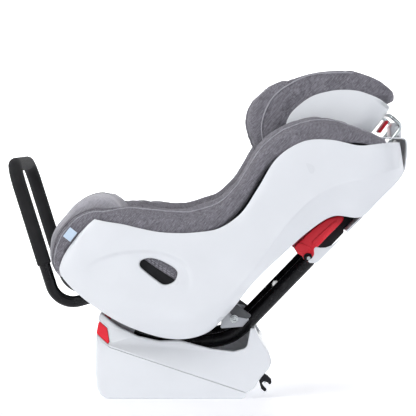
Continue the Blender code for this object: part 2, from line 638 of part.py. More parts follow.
def u_ring(u, back, front, half, side_wall, back_wall, corner):
    """Closed U-shaped section across the headrest at one height, open to the front."""
    def half_line(y_face, w_face, radius):
        radius = min(radius, y_face * 0.8, max(front - w_face, 0.004) * 0.8)
        line = [(front, y_face)]
        for k in range(5):
            a = math.radians(90 * k / 4)
            line.append((w_face + radius * (1 - math.sin(a)), y_face - radius * (1 - math.cos(a))))
        return line
    outer = half_line(half, back, corner)
    inner = half_line(half - side_wall, back + back_wall, corner - side_wall * 0.5)
    ring = outer + [(w, -y) for w, y in outer[::-1]] + [(w, -y) for w, y in inner] + inner[::-1]
    return [head_point(u, w, y) for w, y in ring]


def headrest(parent, release):
    """Headrest shell, its pad, the bent rod it slides on and the release lever behind it."""
    shell = ((-0.160, 0.062, 0.120), (-0.104, 0.055, 0.163), (-0.075, 0.052, 0.1735),
             (-0.044, 0.030, 0.170), (-0.010, 0.006, 0.158), (0.022, 0.002, 0.133),
             (0.042, 0.001, 0.110), (0.058, 0.001, 0.084), (0.068, 0.003, 0.054), (0.072, 0.008, 0.034))
    rings = [u_ring(u, back, front, HEAD_HALF_WIDTH, HEAD_WALL, HEAD_WALL, 0.050) for u, back, front in shell]
    place(loft("headrest_shell", rings), "shell_white", parent)
    pad = ((-0.182, 0.070, 0.184), (-0.164, 0.069, 0.215), (-0.145, 0.068, 0.237), (-0.123, 0.066, 0.250),
           (-0.095, 0.063, 0.2555), (-0.066, 0.060, 0.252), (-0.039, 0.046, 0.242), (-0.018, 0.024, 0.227),
           (0.006, 0.013, 0.207), (0.028, 0.0115, 0.190), (0.050, 0.013, 0.168), (0.069, 0.0150, 0.146),
           (0.0760, 0.014, 0.138), (0.088, 0.006, 0.117), (0.098, 0.008, 0.090), (0.105, 0.016, 0.062))
    rings = [u_ring(u, back, front, HEAD_HALF_WIDTH - HEAD_WALL - 0.0006, HEAD_PAD_SIDE, HEAD_PAD_BACK, 0.048)
             for u, back, front in pad]
    place(loft("headrest_pad", rings), "fabric_grey", parent)
    run = Vector((math.cos(math.radians(HEAD_ANGLE)), 0.0, math.sin(math.radians(HEAD_ANGLE))))
    bend = Vector((ROD_BEND_POINT[0], 0.0, ROD_BEND_POINT[1]))
    foot = bend - run * ROD_LENGTH
    top = Vector(head_point(0.058, -0.0055, 0.0))
    left = [foot, bend, top]
    path = [(p.x, -ROD_HALF_SPACING, p.z) for p in left] + [(p.x, ROD_HALF_SPACING, p.z) for p in left[::-1]]
    place(tube("headrest_rod", rounded(path, 0.013, 4), ROD_RADIUS, 2), "steel", parent)
    lever = block("headrest_release", head_point(0.034, -0.0145, 0.0), (0.032, 0.062, 0.007), HEAD_ANGLE, 0.002)
    place(lever, "red_plastic", release)


# ---- harness ------------------------------------------------------------------------------
def on_pads(points):
    """Harness points, given for a bare bucket, lifted square off it by the thickness of the pads."""
    lifted = []
    for x, y, z in points:
        lean = math.radians(45) * min(max((x - PAD_FOLD) / PAD_FOLD_LENGTH, 0.0), 1.0)
        lifted.append((x - math.sin(lean) * PAD_THICKNESS, y, z + math.cos(lean) * PAD_THICKNESS))
    return lifted


def ribbon(name, points, width, thickness, finish, parent, across=(0.0, 1.0, 0.0)):
    """A flat strap along a smooth path; `across` is the way its width lies."""
    path = [Vector(p) for p in smooth(points, 3)]
    rings = []
    across = Vector(across)
    for i, here in enumerate(path):
        run = (path[min(i + 1, len(path) - 1)] - path[max(i - 1, 0)]).normalized()
        wide = (across - run * across.dot(run)).normalized() * (width / 2)
        thick = run.cross(wide).normalized() * (thickness / 2)
        rings.append([here + wide + thick, here - wide + thick, here - wide - thick, here + wide - thick])
    return place(loft(name, rings), finish, parent)


def pressed_button(name, label, centre, size, button, tilt, finish, parent, press):
    """A housing with a pocket in its top and the button that is pressed into it."""
    housing = block(name, centre, size, tilt, edge=0.002)
    normal = Vector((-math.sin(math.radians(tilt)), 0.0, math.cos(math.radians(tilt))))
    top = Vector(centre) + normal * (size[2] / 2)
    pocket = block(label + "_pocket", top, (button[0] + 0.0014, button[1] + 0.0014, 2 * BUTTON_DEPTH), tilt)
    place(boolean(housing, [pocket]), finish, parent)
    face = top + normal * (BUTTON_PROUD - button[2] / 2)
    place(block(label, face, button, tilt, edge=0.0012), "red_plastic", press)


def harness(parent, buckle_press, adjuster_press):
    """Five-point harness with its hardware, lying buckled on the cushions."""
    for side, label in SIDES:
        shoulder = ((0.2840, side * 0.062, 0.4095), (0.2560, side * 0.062, 0.3795),
                    (0.2129, side * 0.056, 0.3369), (0.1638, side * 0.046, 0.3119),
                    (0.1154, side * 0.034, 0.3152), (0.0735, side * 0.024, 0.3350))
        ribbon("shoulder_strap_" + label, on_pads(shoulder), STRAP_WIDTH, STRAP_THICKNESS, "webbing", parent)
        pad = ((0.2770, side * 0.062, 0.4160), (0.2500, side * 0.061, 0.3885), (0.2069, side * 0.056, 0.3465))
        ribbon("shoulder_pad_" + label, on_pads(pad), SHOULDER_PAD_WIDTH, SHOULDER_PAD_THICKNESS,
               "fabric_dark", parent)
        lap = [(x, side * (LAP_STRAP_END + (PAD_HALF_WIDTH - 0.009 - LAP_STRAP_END) * share), z)
               for x, z, share in ((0.1206, 0.2638, 1.0), (0.1051, 0.2710, 0.716), (0.0900, 0.2940, 0.270),
                                   (0.0800, 0.3110, 0.0))]
        ribbon("lap_strap_" + label, on_pads(lap), LAP_STRAP_WIDTH, STRAP_THICKNESS, "webbing", parent,
               (1.0, 0.0, 0.35))
        middle = on_pads([(0.0582, side * 0.0125, 0.3267)])[0]
        place(block("harness_tongue_" + label, middle, (0.026, 0.019, 0.0030), BUCKLE_TILT), "steel", parent)
    clip = block("chest_clip", on_pads([(0.1638, 0.0, 0.3219)])[0], (0.030, 0.104, 0.009), 12.0, edge=0.003)
    place(clip, "inner_plastic", parent)
    crotch = ((0.0040, 0.0, 0.2850), (0.0010, 0.0, 0.2890), (-0.0010, 0.0, 0.2950))
    ribbon("crotch_strap", on_pads(crotch), STRAP_WIDTH, STRAP_THICKNESS, "webbing", parent)
    pressed_button("harness_buckle", "buckle_button", on_pads([BUCKLE])[0], (0.048, 0.042, 0.018),
                   (0.018, 0.024, 0.0050), BUCKLE_TILT, "inner_plastic", parent, buckle_press)
    pressed_button("adjuster_housing", "adjuster_button", on_pads([ADJUSTER])[0], (0.046, 0.040, 0.012),
                   (0.020, 0.018, 0.0050), ADJUSTER_TILT, "inner_plastic", parent, adjuster_press)
    tail = ((-0.1035, 0.0, 0.4040), (-0.130, 0.0, 0.4370), (-0.152, 0.0, 0.4460), (-0.172, 0.0, 0.4480),
            (-0.196, 0.0, 0.4420), (-0.222, 0.0, 0.4260), (-0.246, 0.0, 0.4040), (-0.269, 0.0, 0.3820),
            (-0.2850, 0.0, 0.3500), (-0.2900, 0.0, 0.3170), (-0.2890, 0.0, 0.2950))
    ribbon("adjuster_strap", tail, 0.025, 0.0020, "webbing", parent)


# ---- base ---------------------------------------------------------------------------------
def base(wedge_joint, base_joint, handle_joint):
    """Rear-facing wedge, open base housing and the red recline handle in its front corner."""
    half = BASE_HALF_WIDTH
    wedge = slab("rear_facing_wedge", WEDGE, -half, half)
    hollow = slab("wedge_hollow", ((-0.168, 0.007), (0.110, 0.007), (0.112, 0.030), (-0.145, 0.200),
                                   (-0.168, 0.200)), BASE_WALL - half, half - BASE_WALL)
    place(boolean(wedge, [hollow]), "shell_white", wedge_joint)
    housing = slab("base_housing", HOUSING, -half, half)
    tub = slab("tub", TUB, BASE_WALL - half, half - BASE_WALL)
    gate_width = 2 * (FRAME_TUBE_Y + FRAME_TUBE_RADIUS + 0.014)
    gate = block("rear_gate", (0.180, 0.0, 0.165), (0.080, gate_width, 0.090))
    pocket = slab("handle_pocket", offset_closed(HANDLE, HANDLE_GAP), -half - 0.01, half + 0.01)
    slots = [block("latch_slot_" + label, (0.185, side * LATCH_Y, 0.047),
                   (0.080, LATCH_THICKNESS + 2 * LATCH_CLEARANCE, 0.010 + 4 * LATCH_CLEARANCE))
             for side, label in SIDES]
    place(boolean(housing, [tub, gate, pocket] + slots), "shell_white", base_joint)
    handle = slab("recline_handle", HANDLE, -half, half)
    inside = block("handle_inside", (-0.130, 0.0, 0.145), (0.060, 2 * (half - HANDLE_WALL), 0.080))
    place(boolean(handle, [inside]), "red_plastic", handle_joint)
    plate = block("base_steel_plate", (0.005, 0.0, 0.0090), (0.190, 2 * (half - 0.020), 0.003))
    place(plate, "steel", wedge_joint)


def crush_block(parent):
    """Aluminium honeycomb in the nose of the wedge, its cells running front to back."""
    comb = block("crush_block", (-0.128, 0.0, 0.046), (0.060, 0.124, 0.060))
    cells = [rod("cell_%d_%d" % (row, column), (-0.170, -0.045 + 0.030 * column, 0.032 + 0.028 * row),
                 (-0.090, -0.045 + 0.030 * column, 0.032 + 0.028 * row), 0.0115, 6)
             for row in range(2) for column in range(4)]
    place(boolean(comb, cells), "aluminium", parent)


def latches(arm_joints, jaw_joints):
    """Lower-anchor latches: a sliding arm with its hook, and the jaw that closes the hook."""
    half = LATCH_THICKNESS / 2
    for (side, label), arm_joint, jaw_joint in zip(SIDES, arm_joints, jaw_joints):
        arm = slab("latch_arm_" + label, LATCH_ARM, side * (LATCH_Y - half), side * (LATCH_Y + half))
        place(arm, "inner_plastic", arm_joint)
        face = LATCH_Y - half - GAP
        jaw = slab("latch_jaw_" + label, LATCH_JAW, side * face, side * (face - 0.0025))
        place(jaw, "steel", jaw_joint)


def recline_lock(seat, lock_joint):
    """Notched racks under the seat and the bar that runs in their notch, over a dip for each position."""
    half_notch = math.degrees((LOCK_BAR_RADIUS + LOCK_BAR_CLEARANCE) / LOCK_BAR_ORBIT)
    floor = LOCK_BAR_ORBIT - LOCK_BAR_RADIUS - LOCK_BAR_CLEARANCE
    outline = arc(SEAT_AXIS, RACK_INNER, RACK_FIRST, RACK_LAST, 6)
    edge = [(RACK_LAST, RACK_OUTER), (LOCK_BAR_ANGLE + half_notch, RACK_OUTER)]
    for k in range(RECLINE_POSITIONS):
        seat_angle = LOCK_BAR_ANGLE - RECLINE_STEP * k
        edge += [(seat_angle + half_notch, floor), (seat_angle + half_notch / 2, floor - RACK_DIP),
                 (seat_angle - half_notch / 2, floor - RACK_DIP), (seat_angle - half_notch, floor)]
    edge.append((edge[-1][0], RACK_OUTER))
    edge = [polar(SEAT_AXIS, radius, angle) for angle, radius in edge]
    for side, label in SIDES:
        rack = slab("recline_rack_" + label, outline + edge,
                    side * (RACK_Y - RACK_THICKNESS / 2), side * (RACK_Y + RACK_THICKNESS / 2))
        place(rack, "aluminium", seat)
    x, z = polar(SEAT_AXIS, LOCK_BAR_ORBIT, LOCK_BAR_ANGLE)
    reach = RACK_Y + 2 * RACK_THICKNESS
    place(rod("recline_lock_bar", (x, -reach, z), (x, reach, z), LOCK_BAR_RADIUS), "steel", lock_joint)


def tag(parent):
    """Small woven label in the seam at the front of the left bolster."""
    label = block("fabric_tag", (-0.2235, 0.005 - SEAT_HALF_WIDTH, 0.3690), (0.017, 0.0009, 0.022), -40.0)
    place(label, "shell_white", parent)


def main():
    seat = joint("seat_recline_axis", (SEAT_AXIS[0], 0.0, SEAT_AXIS[1]))
    root = joint("base_bottom_centre", (0.0, 0.0, 0.0))
    base_lift = joint("base_lift", (0.0, 0.0, 0.1))
    handle = joint("recline_handle_slide", (-0.157, 0.0, 0.145))
    lock = joint("recline_lock_slide", (-0.120, 0.0, 0.131))
    bar = joint("rebound_bar_slide", (BAR_CORNER[0], 0.0, BAR_CORNER[1]))
    head = joint("headrest_slide", (HEAD_ORIGIN[0], 0.0, HEAD_ORIGIN[1]))
    release = joint("headrest_release_slide", head_point(0.034, -0.0145, 0.0))
    buckle = joint("buckle_button_press", on_pads([BUCKLE])[0])
    adjuster = joint("adjuster_button_press", on_pads([ADJUSTER])[0])
    levers = [joint("lockoff_axis_" + label, (LOCKOFF_PIVOT[0], side * LOCKOFF_Y, LOCKOFF_PIVOT[1]))
              for side, label in SIDES]
    arms = [joint("latch_slide_" + label, (0.150, side * LATCH_Y, 0.047)) for side, label in SIDES]
    jaws = [joint("latch_jaw_axis_" + label, (LATCH_PIVOT[0], side * LATCH_Y, LATCH_PIVOT[1]))
            for side, label in SIDES]
    for side, label in SIDES:
        side_shell(side, label, seat)
    pads(seat)
    back_cover(seat)
    frame_tubes(seat)
    frame_guards(seat)
    rod_sleeves(seat)
    bar_sockets(seat)
    harness(seat, buckle, adjuster)
    tag(seat)
    rebound_bar(bar)
    lockoffs(seat, levers)
    headrest(head, release)
    base(root, base_lift, handle)
    crush_block(root)
    latches(arms, jaws)
    recline_lock(seat, lock)
    bpy.context.view_layer.update()


main()
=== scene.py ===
# %% [markdown]
# # A rear-facing convertible car seat
#
# This lesson dresses a finished mechanical model: two glossy side shells, a padded seat between them,
# a base with a wedge under it, and an anti-rebound bar in front. The mechanical model already has every
# size and every joint, so it is loaded first and never changed. Each step then makes one visible piece
# and lets it ride on the body that it belongs to.

# %% Load the frame
import math

import bmesh
import bpy
from mathutils import Matrix, Vector
from mathutils.bvhtree import BVHTree


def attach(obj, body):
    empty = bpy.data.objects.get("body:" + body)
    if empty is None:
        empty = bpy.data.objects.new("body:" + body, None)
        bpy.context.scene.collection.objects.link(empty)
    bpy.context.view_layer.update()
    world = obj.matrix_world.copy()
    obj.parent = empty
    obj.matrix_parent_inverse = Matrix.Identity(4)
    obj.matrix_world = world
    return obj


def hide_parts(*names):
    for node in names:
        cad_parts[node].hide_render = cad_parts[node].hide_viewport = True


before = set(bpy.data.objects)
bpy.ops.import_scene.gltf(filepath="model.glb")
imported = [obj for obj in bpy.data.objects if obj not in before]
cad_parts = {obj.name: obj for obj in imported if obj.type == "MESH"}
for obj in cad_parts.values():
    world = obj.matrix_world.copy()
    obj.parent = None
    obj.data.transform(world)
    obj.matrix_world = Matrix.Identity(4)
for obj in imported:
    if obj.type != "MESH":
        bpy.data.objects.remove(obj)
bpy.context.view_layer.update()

SIDES = ((-1, "left"), (1, "right"))

# %% [markdown]
# ## Where we look from
#
# A product view taken from far away with a long lens keeps parallel edges parallel. The camera stands
# four metres to the side, at the height of the headrest, and looks down by a little over two degrees.

# %% Camera
CAMERA_PLACE = (0.073, -4.0, 0.58)
CAMERA_DIP = 2.4                     # degrees below level
camera = bpy.data.objects.new("camera", bpy.data.cameras.new("camera"))
camera.location = CAMERA_PLACE
camera.rotation_euler = (math.radians(90 - CAMERA_DIP), 0.0, 0.0)
camera.data.lens = 152.5
camera.data.sensor_width = 36.0
bpy.context.scene.collection.objects.link(camera)
bpy.context.scene.camera = camera
print("camera at", CAMERA_PLACE)

# %% [markdown]
# ## A plain studio
#
# White plastic on a white sweep shows its form only through soft differences of light. The main light is
# broad and stands in front on the left. A weaker one on the right, one overhead and one behind fill the
# shadows, and a pale sky does the rest. Lights are area lamps turned to one point by `to_track_quat`.

# %% Lights
def soft_light(name, place, target, size, power, colour=(1.0, 1.0, 1.0)):
    """A square area light that looks at a point."""
    lamp = bpy.data.lights.new(name, "AREA")
    lamp.size = size
    lamp.energy = power
    lamp.color = colour
    holder = bpy.data.objects.new(name, lamp)
    holder.location = place
    holder.rotation_euler = (Vector(target) - Vector(place)).to_track_quat("-Z", "Y").to_euler()
    bpy.context.scene.collection.objects.link(holder)
    return holder


MIDDLE = (0.05, 0.0, 0.35)
soft_light("front_left", (-1.8, -1.8, 2.8), MIDDLE, 1.7, 52)
soft_light("front_right", (2.1, -2.4, 1.0), MIDDLE, 1.6, 6, (0.86, 0.87, 1.0))
soft_light("overhead", (0.1, 0.2, 2.6), MIDDLE, 1.8, 12)
soft_light("behind", (0.4, 2.4, 1.7), MIDDLE, 1.6, 12)

print("lights:", ", ".join(light.name for light in bpy.data.lights))

# %% [markdown]
# ### Sky and sweep
#
# The sky is one even colour. The floor is a very wide bowl: a profile spun round the middle, flat where
# the seat stands and rising in one curve at its edge, so that no horizon line is seen from any side. It
# gets its white finish with the other finishes.

# %% Sky and sweep
world = bpy.data.worlds.new("pale_sky")
world.use_nodes = True
world.node_tree.nodes["Background"].inputs["Color"].default_value = (0.93, 0.94, 1.0, 1.0)
world.node_tree.nodes["Background"].inputs["Strength"].default_value = 0.15
bpy.context.scene.world = world
bpy.context.scene.view_settings.view_transform = "Standard"

sweep = bmesh.new()
SWEEP_PROFILE = ((0.0, 0.0), (4.0, 0.0), (8.5, 0.0), (10.0, 0.25), (11.2, 1.0), (11.8, 2.4), (12.0, 9.0))
SWEEP_GAP = 0.0005                   # the floor lies this far under the base
path = [sweep.verts.new((radius, 0.0, z - SWEEP_GAP)) for radius, z in SWEEP_PROFILE]
line = [sweep.edges.new(pair) for pair in zip(path, path[1:])]
bmesh.ops.spin(sweep, geom=path + line, cent=(0, 0, 0), axis=(0, 0, 1), angle=2 * math.pi, steps=64,
               use_merge=True)
bmesh.ops.remove_doubles(sweep, verts=sweep.verts, dist=0.0001)
bmesh.ops.recalc_face_normals(sweep, faces=sweep.faces)
if sum(face.normal.z * face.calc_area() for face in sweep.faces) < 0:
    bmesh.ops.reverse_faces(sweep, faces=sweep.faces)
sweep_mesh = bpy.data.meshes.new("studio_sweep")
sweep.to_mesh(sweep_mesh)
sweep.free()
sweep_mesh.shade_smooth()
studio_floor = bpy.data.objects.new("studio_sweep", sweep_mesh)
bpy.context.scene.collection.objects.link(studio_floor)
print("sweep:", len(sweep_mesh.polygons), "faces")

# %% [markdown]
# ## Writing finishes as sums
#
# A finish is a small graph of shader nodes. Drawing such a graph by hand in a script is long, so two
# small classes do it: a `Recipe` adds any node in one call, and a `Wire` is one of its outputs, on which
# ordinary arithmetic adds the Math nodes. The reflected forms let a number stand first, as in `1 - mask`.

# %% Wire
class Wire:
    """One output of a node, on which arithmetic adds Math nodes."""

    def __init__(self, recipe, socket):
        self.recipe = recipe
        self.socket = socket

    def maths(self, operation, first, second):
        return self.recipe.node("ShaderNodeMath", {"operation": operation}, {0: first, 1: second})

    def __add__(self, other):
        return self.maths("ADD", self, other)

    __radd__ = __add__

    def __sub__(self, other):
        return self.maths("SUBTRACT", self, other)

    def __rsub__(self, other):
        return self.maths("SUBTRACT", other, self)

    def __mul__(self, other):
        return self.maths("MULTIPLY", self, other)

    __rmul__ = __mul__


print("wires can be added, subtracted and multiplied")

# %% [markdown]
# ### Recipes
#
# A recipe starts with one shader, whose constant values are set on its own sockets. Patterns are laid out
# by the object's own coordinates, in metres, so they have the same scale on every piece. What varies over
# the surface feeds only the colour, the roughness and the bump.

# %% Recipe
class Recipe:
    """A material that is written as a recipe, one node at a time."""

    def __init__(self, name, metallic=0.0, **constants):
        self.material = bpy.data.materials.new(name)
        self.material.use_nodes = True
        self.tree = self.material.node_tree
        self.shader = self.tree.nodes["Principled BSDF"]
        self.shader.inputs["Metallic"].default_value = metallic
        for socket, value in constants.items():
            self.shader.inputs[socket.replace("_", " ")].default_value = value
        self.place = self.node("ShaderNodeTexCoord", output="Object")

    def node(self, kind, settings=None, values=None, output=0):
        """Any node: its settings first, then the values or links of its sockets."""
        made = self.tree.nodes.new(kind)
        for key, value in (settings or {}).items():
            setattr(made, key, value)
        for key, value in (values or {}).items():
            self.feed(made.inputs[key], value)
        return Wire(self, made.outputs[output])

    def feed(self, socket, value):
        if isinstance(value, Wire):
            self.tree.links.new(value.socket, socket)
        else:
            socket.default_value = value

    def stretched(self, turn, scale):
        """The object's own coordinates, first turned (degrees) and then scaled."""
        turn = tuple(math.radians(angle) for angle in turn)
        sizes = tuple(1 / part for part in scale)
        return self.node("ShaderNodeMapping", {"vector_type": "TEXTURE"},
                         {"Vector": self.place, "Rotation": turn, "Scale": sizes})

    def grain(self, scale, detail=2.0, where=None):
        """Noise of a scale (waves a metre), from 0 to 1."""
        values = {"Vector": where or self.place, "Scale": scale, "Detail": detail}
        return self.node("ShaderNodeTexNoise", {}, values)

    def between(self, amount, low, high):
        """A colour between two, by an amount from 0 to 1."""
        low, high = (part if isinstance(part, Wire) else (*part, 1.0) for part in (low, high))
        return self.node("ShaderNodeMix", {"data_type": "RGBA"}, {0: amount, 6: low, 7: high}, 2)

    def sharpen(self, amount, low, high):
        """An amount stretched so that low becomes 0 and high becomes 1."""
        limits = {"Value": amount, "From Min": low, "From Max": high}
        return self.node("ShaderNodeMapRange", {}, limits)

    def finish(self, colour, roughness, height=None, depth=0.0002, strength=0.5):
        """Feed the shader's colour, roughness and bump, and hand over the material."""
        self.feed(self.shader.inputs["Base Color"], colour)
        self.feed(self.shader.inputs["Roughness"], roughness)
        if height is not None:
            bump = {"Height": height, "Distance": depth, "Strength": strength}
            self.feed(self.shader.inputs["Normal"], self.node("ShaderNodeBump", {}, bump))
        return self.material


print("recipes are ready")

# %% [markdown]
# ## Moulded plastics
#
# The side shells are polypropylene from a polished mould. Such a surface isn't perfectly flat: it has a
# faint orange peel, and it is a little glossier where hands rub it. The black and grey parts come from an
# etched mould, so they have a fine, even grain and hardly any gloss.

# %% Plastic finishes
def polished_plastic(name, colour, roughness, coat=0.12):
    """Glossy moulded plastic with orange peel and slow changes of tone."""
    recipe = Recipe(name, Coat_Weight=coat, Coat_Roughness=0.12)
    tone = recipe.sharpen(recipe.grain(9.0, 3.0), 0.3, 0.7)
    peel = recipe.grain(420.0, 1.0)
    darker = tuple(0.965 * part for part in colour)
    return recipe.finish(recipe.between(tone, darker, colour), roughness + 0.07 * tone, peel,
                         depth=0.00008, strength=0.22)


def etched_plastic(name, colour, roughness):
    """Matt moulded plastic with a fine etched grain."""
    recipe = Recipe(name, Specular_IOR_Level=0.22)
    grain = recipe.grain(1500.0, 2.0)
    rubbed = recipe.sharpen(recipe.grain(22.0, 4.0), 0.35, 0.75)
    lighter = tuple(min(1.0, 1.35 * part + 0.006) for part in colour)
    return recipe.finish(recipe.between(rubbed, colour, lighter), roughness - 0.1 * rubbed, grain)


shell_white = polished_plastic("shell_white", (0.835, 0.858, 0.880), 0.27)
headrest_white = polished_plastic("headrest_white", (0.86, 0.885, 0.900), 0.30)
tag_white = polished_plastic("tag_white", (0.62, 0.76, 0.90), 0.60, 0.0)
red_plastic = polished_plastic("red_plastic", (0.88, 0.010, 0.030), 0.36, 0.05)
inner_plastic = etched_plastic("inner_plastic", (0.009, 0.009, 0.011), 0.60)
grey_plastic = etched_plastic("grey_plastic", (0.110, 0.115, 0.120), 0.55)
print("6 plastic finishes")

# %% [markdown]
# ## Fabrics
#
# The cover is a melange knit: light and dark fibres are spun together, so the cloth shows short streaks
# that run on the slant, over a fine weave. Streaks are noise that is stretched along one diagonal and
# squeezed across it. A second set at the other slant stops it from looking combed.

# %% Fabric finishes
def melange(name, dark, middle, light, sheen=0.10):
    """Padded melange cloth: slanted streaks of light and dark fibre over a fine weave."""
    recipe = Recipe(name, Sheen_Weight=sheen, Sheen_Roughness=0.6, Specular_IOR_Level=0.15)
    first = recipe.grain(1.0, 3.0, recipe.stretched((0, 42, 0), (820, 640, 74)))
    second = recipe.grain(1.0, 3.0, recipe.stretched((0, -40, 0), (860, 660, 92)))
    patches = recipe.grain(46.0, 4.0)
    streak = recipe.sharpen(0.60 * first + 0.27 * second + 0.13 * patches, 0.40, 0.61)
    short = recipe.grain(1.0, 1.0, recipe.stretched((0, 44, 0), (900, 700, 84)))
    fleck = recipe.sharpen(short, 0.62, 0.78)
    ground = recipe.between(streak, dark, middle)
    lit = recipe.between(fleck * 0.45, ground, light)
    weave = recipe.grain(1.0, 0.0, recipe.stretched((0, 45, 0), (1500, 1500, 1500)))
    return recipe.finish(lit, 0.86 + 0.1 * streak, 0.6 * streak + 0.4 * weave, depth=0.0009, strength=0.55)


def woven_band(name, colour, pitch):
    """Flat webbing: ribs across the band, and a paler thread along its edges of weave."""
    recipe = Recipe(name, Sheen_Weight=0.05, Specular_IOR_Level=0.3)
    waves = {"Vector": recipe.place, "Scale": pitch, "Detail": 1.0}
    ribs = recipe.node("ShaderNodeTexWave", {"bands_direction": "Y"}, {**waves, "Distortion": 0.6})
    cross = recipe.node("ShaderNodeTexWave", {"bands_direction": "DIAGONAL"}, {**waves, "Distortion": 0.4})
    cloth = 0.6 * ribs + 0.4 * cross
    lighter = tuple(2.4 * part for part in colour)
    return recipe.finish(recipe.between(cloth, colour, lighter), 0.62 + 0.2 * ribs, cloth,
                         depth=0.0004, strength=0.7)


fabric_grey = melange("fabric_grey", (0.118, 0.113, 0.128), (0.270, 0.262, 0.292), (0.50, 0.49, 0.53))
fabric_dark = melange("fabric_dark", (0.055, 0.051, 0.063), (0.128, 0.120, 0.142), (0.26, 0.25, 0.29))
# fabric_light is a paler cloth, and its colours are set paler still to paint in the light and sheen that fall
# on the top of the front roll.
fabric_light = melange("fabric_light", (0.40, 0.392, 0.425), (0.54, 0.53, 0.57), (0.64, 0.63, 0.67))
piping_light = melange("piping_light", (0.30, 0.30, 0.33), (0.46, 0.455, 0.49), (0.62, 0.61, 0.65))
webbing = woven_band("webbing", (0.016, 0.016, 0.018), 420.0)
print("5 fabric finishes")

# %% [markdown]
# ## Paint, foam and bare metal
#
# Powder coat on steel tube is deep black and smooth, with a faint ripple. The foam sleeve is matt and
# full of tiny cells. Bare steel and aluminium show fine lines from drawing or brushing, so their
# roughness changes quickly in one direction and slowly in the other.

# %% Metal and foam finishes
def powder_coat(name, colour):
    """Baked-on paint with a faint ripple and a little dust."""
    recipe = Recipe(name, Coat_Weight=0.06, Coat_Roughness=0.05, Specular_IOR_Level=0.22)
    ripple = recipe.grain(260.0, 2.0)
    dust = recipe.sharpen(recipe.grain(30.0, 5.0), 0.45, 0.8)
    paler = tuple(part + 0.010 for part in colour)
    return recipe.finish(recipe.between(dust, colour, paler), 0.20 + 0.10 * dust, ripple,
                         depth=0.0001, strength=0.25)


def foam(name, colour):
    """Closed-cell foam: a matt skin full of tiny cells."""
    recipe = Recipe(name, Specular_IOR_Level=0.25)
    cells = recipe.node("ShaderNodeTexVoronoi", {}, {"Vector": recipe.place, "Scale": 900.0})
    wear = recipe.grain(40.0, 3.0)
    paler = tuple(part + 0.012 for part in colour)
    return recipe.finish(recipe.between(wear, colour, paler), 0.80 + 0.1 * wear, cells, depth=0.0003)


def bare_metal(name, colour, roughness, lines):
    """Drawn or brushed metal; lines gives how fine the grain is along x, y and z."""
    recipe = Recipe(name, metallic=1.0)
    brushed = recipe.grain(1.0, 3.0, recipe.stretched((0, 0, 0), lines))
    smudge = recipe.sharpen(recipe.grain(35.0, 3.0), 0.4, 0.8)
    darker = tuple(0.82 * part for part in colour)
    return recipe.finish(recipe.between(brushed, darker, colour), roughness + 0.10 * brushed + 0.06 * smudge,
                         brushed, depth=0.00005, strength=0.2)


black_tube = powder_coat("black_tube", (0.006, 0.006, 0.007))
black_foam = foam("black_foam", (0.010, 0.010, 0.011))
steel = bare_metal("steel", (0.62, 0.66, 0.66), 0.16, (1500, 90, 1500))
aluminium = bare_metal("aluminium", (0.56, 0.58, 0.61), 0.32, (90, 1200, 1200))
print("4 metal and foam finishes")

# %% [markdown]
# ### One finish for each slot
#
# The record of the mechanical model names a material slot for every part. This list says which finish
# goes with which slot, so that the parts that are shown as built can be finished in one loop at the end.

# %% Slots
FINISHES = {"shell_white": shell_white, "inner_plastic": inner_plastic, "grey_plastic": grey_plastic,
            "red_plastic": red_plastic, "fabric_grey": fabric_grey, "fabric_dark": fabric_dark,
            "fabric_light": fabric_light, "webbing": webbing, "black_tube": black_tube,
            "black_foam": black_foam, "steel": steel, "aluminium": aluminium}
print(len(FINISHES), "finishes, one for each slot of the record")

# %% [markdown]
# ### The floor's white
#
# Round the seat the floor is plain white paper that takes shadows. Further back, and far away on every
# side, it glows a little, as a lit backdrop does: the glow is a colour between two, mixed by the depth
# (y) of the place and by its distance from the middle, both worked out from the floor's own coordinates.

# %% Floor finish
floor_recipe = Recipe("studio_white", Specular_IOR_Level=0.2, Emission_Strength=1.0)
floor_tone = floor_recipe.grain(0.8, 2.0)
floor_white = floor_recipe.finish(floor_recipe.between(floor_tone, (0.93, 0.935, 0.94), (0.96, 0.962, 0.965)),
                                  0.55 + 0.05 * floor_tone)
depth = floor_recipe.node("ShaderNodeSeparateXYZ", {}, {0: floor_recipe.place}, 1)
distance = floor_recipe.node("ShaderNodeVectorMath", {"operation": "LENGTH"}, {0: floor_recipe.place}, 1)
floor_back = floor_recipe.sharpen(depth, -0.6, 1.8)
floor_far = floor_recipe.sharpen(distance, 1.6, 5.0)
glow = floor_recipe.between(floor_back * 0.78 + floor_far * (1 - floor_back) * 0.10,
                            (0.07, 0.070, 0.085), (1.08, 1.085, 1.09))
floor_recipe.feed(floor_recipe.shader.inputs["Emission Color"], glow)
studio_floor.data.materials.append(floor_white)
print("floor finish:", floor_white.name)

# %% [markdown]
# ## The bench tools
#
# Most pieces here are one of four things: a sheet stretched over rows of points, a flat outline with
# rounded edges, a bent tube, or a copy of a mechanical part with its edges eased. Each gets one function.
# A grid from `create_grid` already has the right faces, so a sheet only has to move its corners.

# %% Rows and sheets
MERGE = 0.00002                      # points closer than this are one point


def smooth_rows(rows, steps):
    """Catmull-Rom rows through the given rows, with some steps between each two."""
    result = []
    for i in range(len(rows) - 1):
        before, here = rows[max(i - 1, 0)], rows[i]
        there, after = rows[i + 1], rows[min(i + 2, len(rows) - 1)]
        for k in range(steps):
            t = k / steps
            result.append(tuple(
                0.5 * (2 * b + (c - a) * t + (2 * a - 5 * b + 4 * c - d) * t ** 2
                       + (3 * b - a - 3 * c + d) * t ** 3)
                for a, b, c, d in zip(before, here, there, after)))
    result.append(tuple(rows[-1]))
    return result


def smooth_loop(points, steps):
    """The same for a closed loop."""
    count = len(points)
    wrapped = [points[-1], *points, points[0], points[1]]
    return smooth_rows(wrapped, steps)[steps:steps * (count + 1)]


def ramp(value):
    """0 below 0, 1 above 1, and a smooth step between."""
    value = min(max(value, 0.0), 1.0)
    return value * value * (3 - 2 * value)


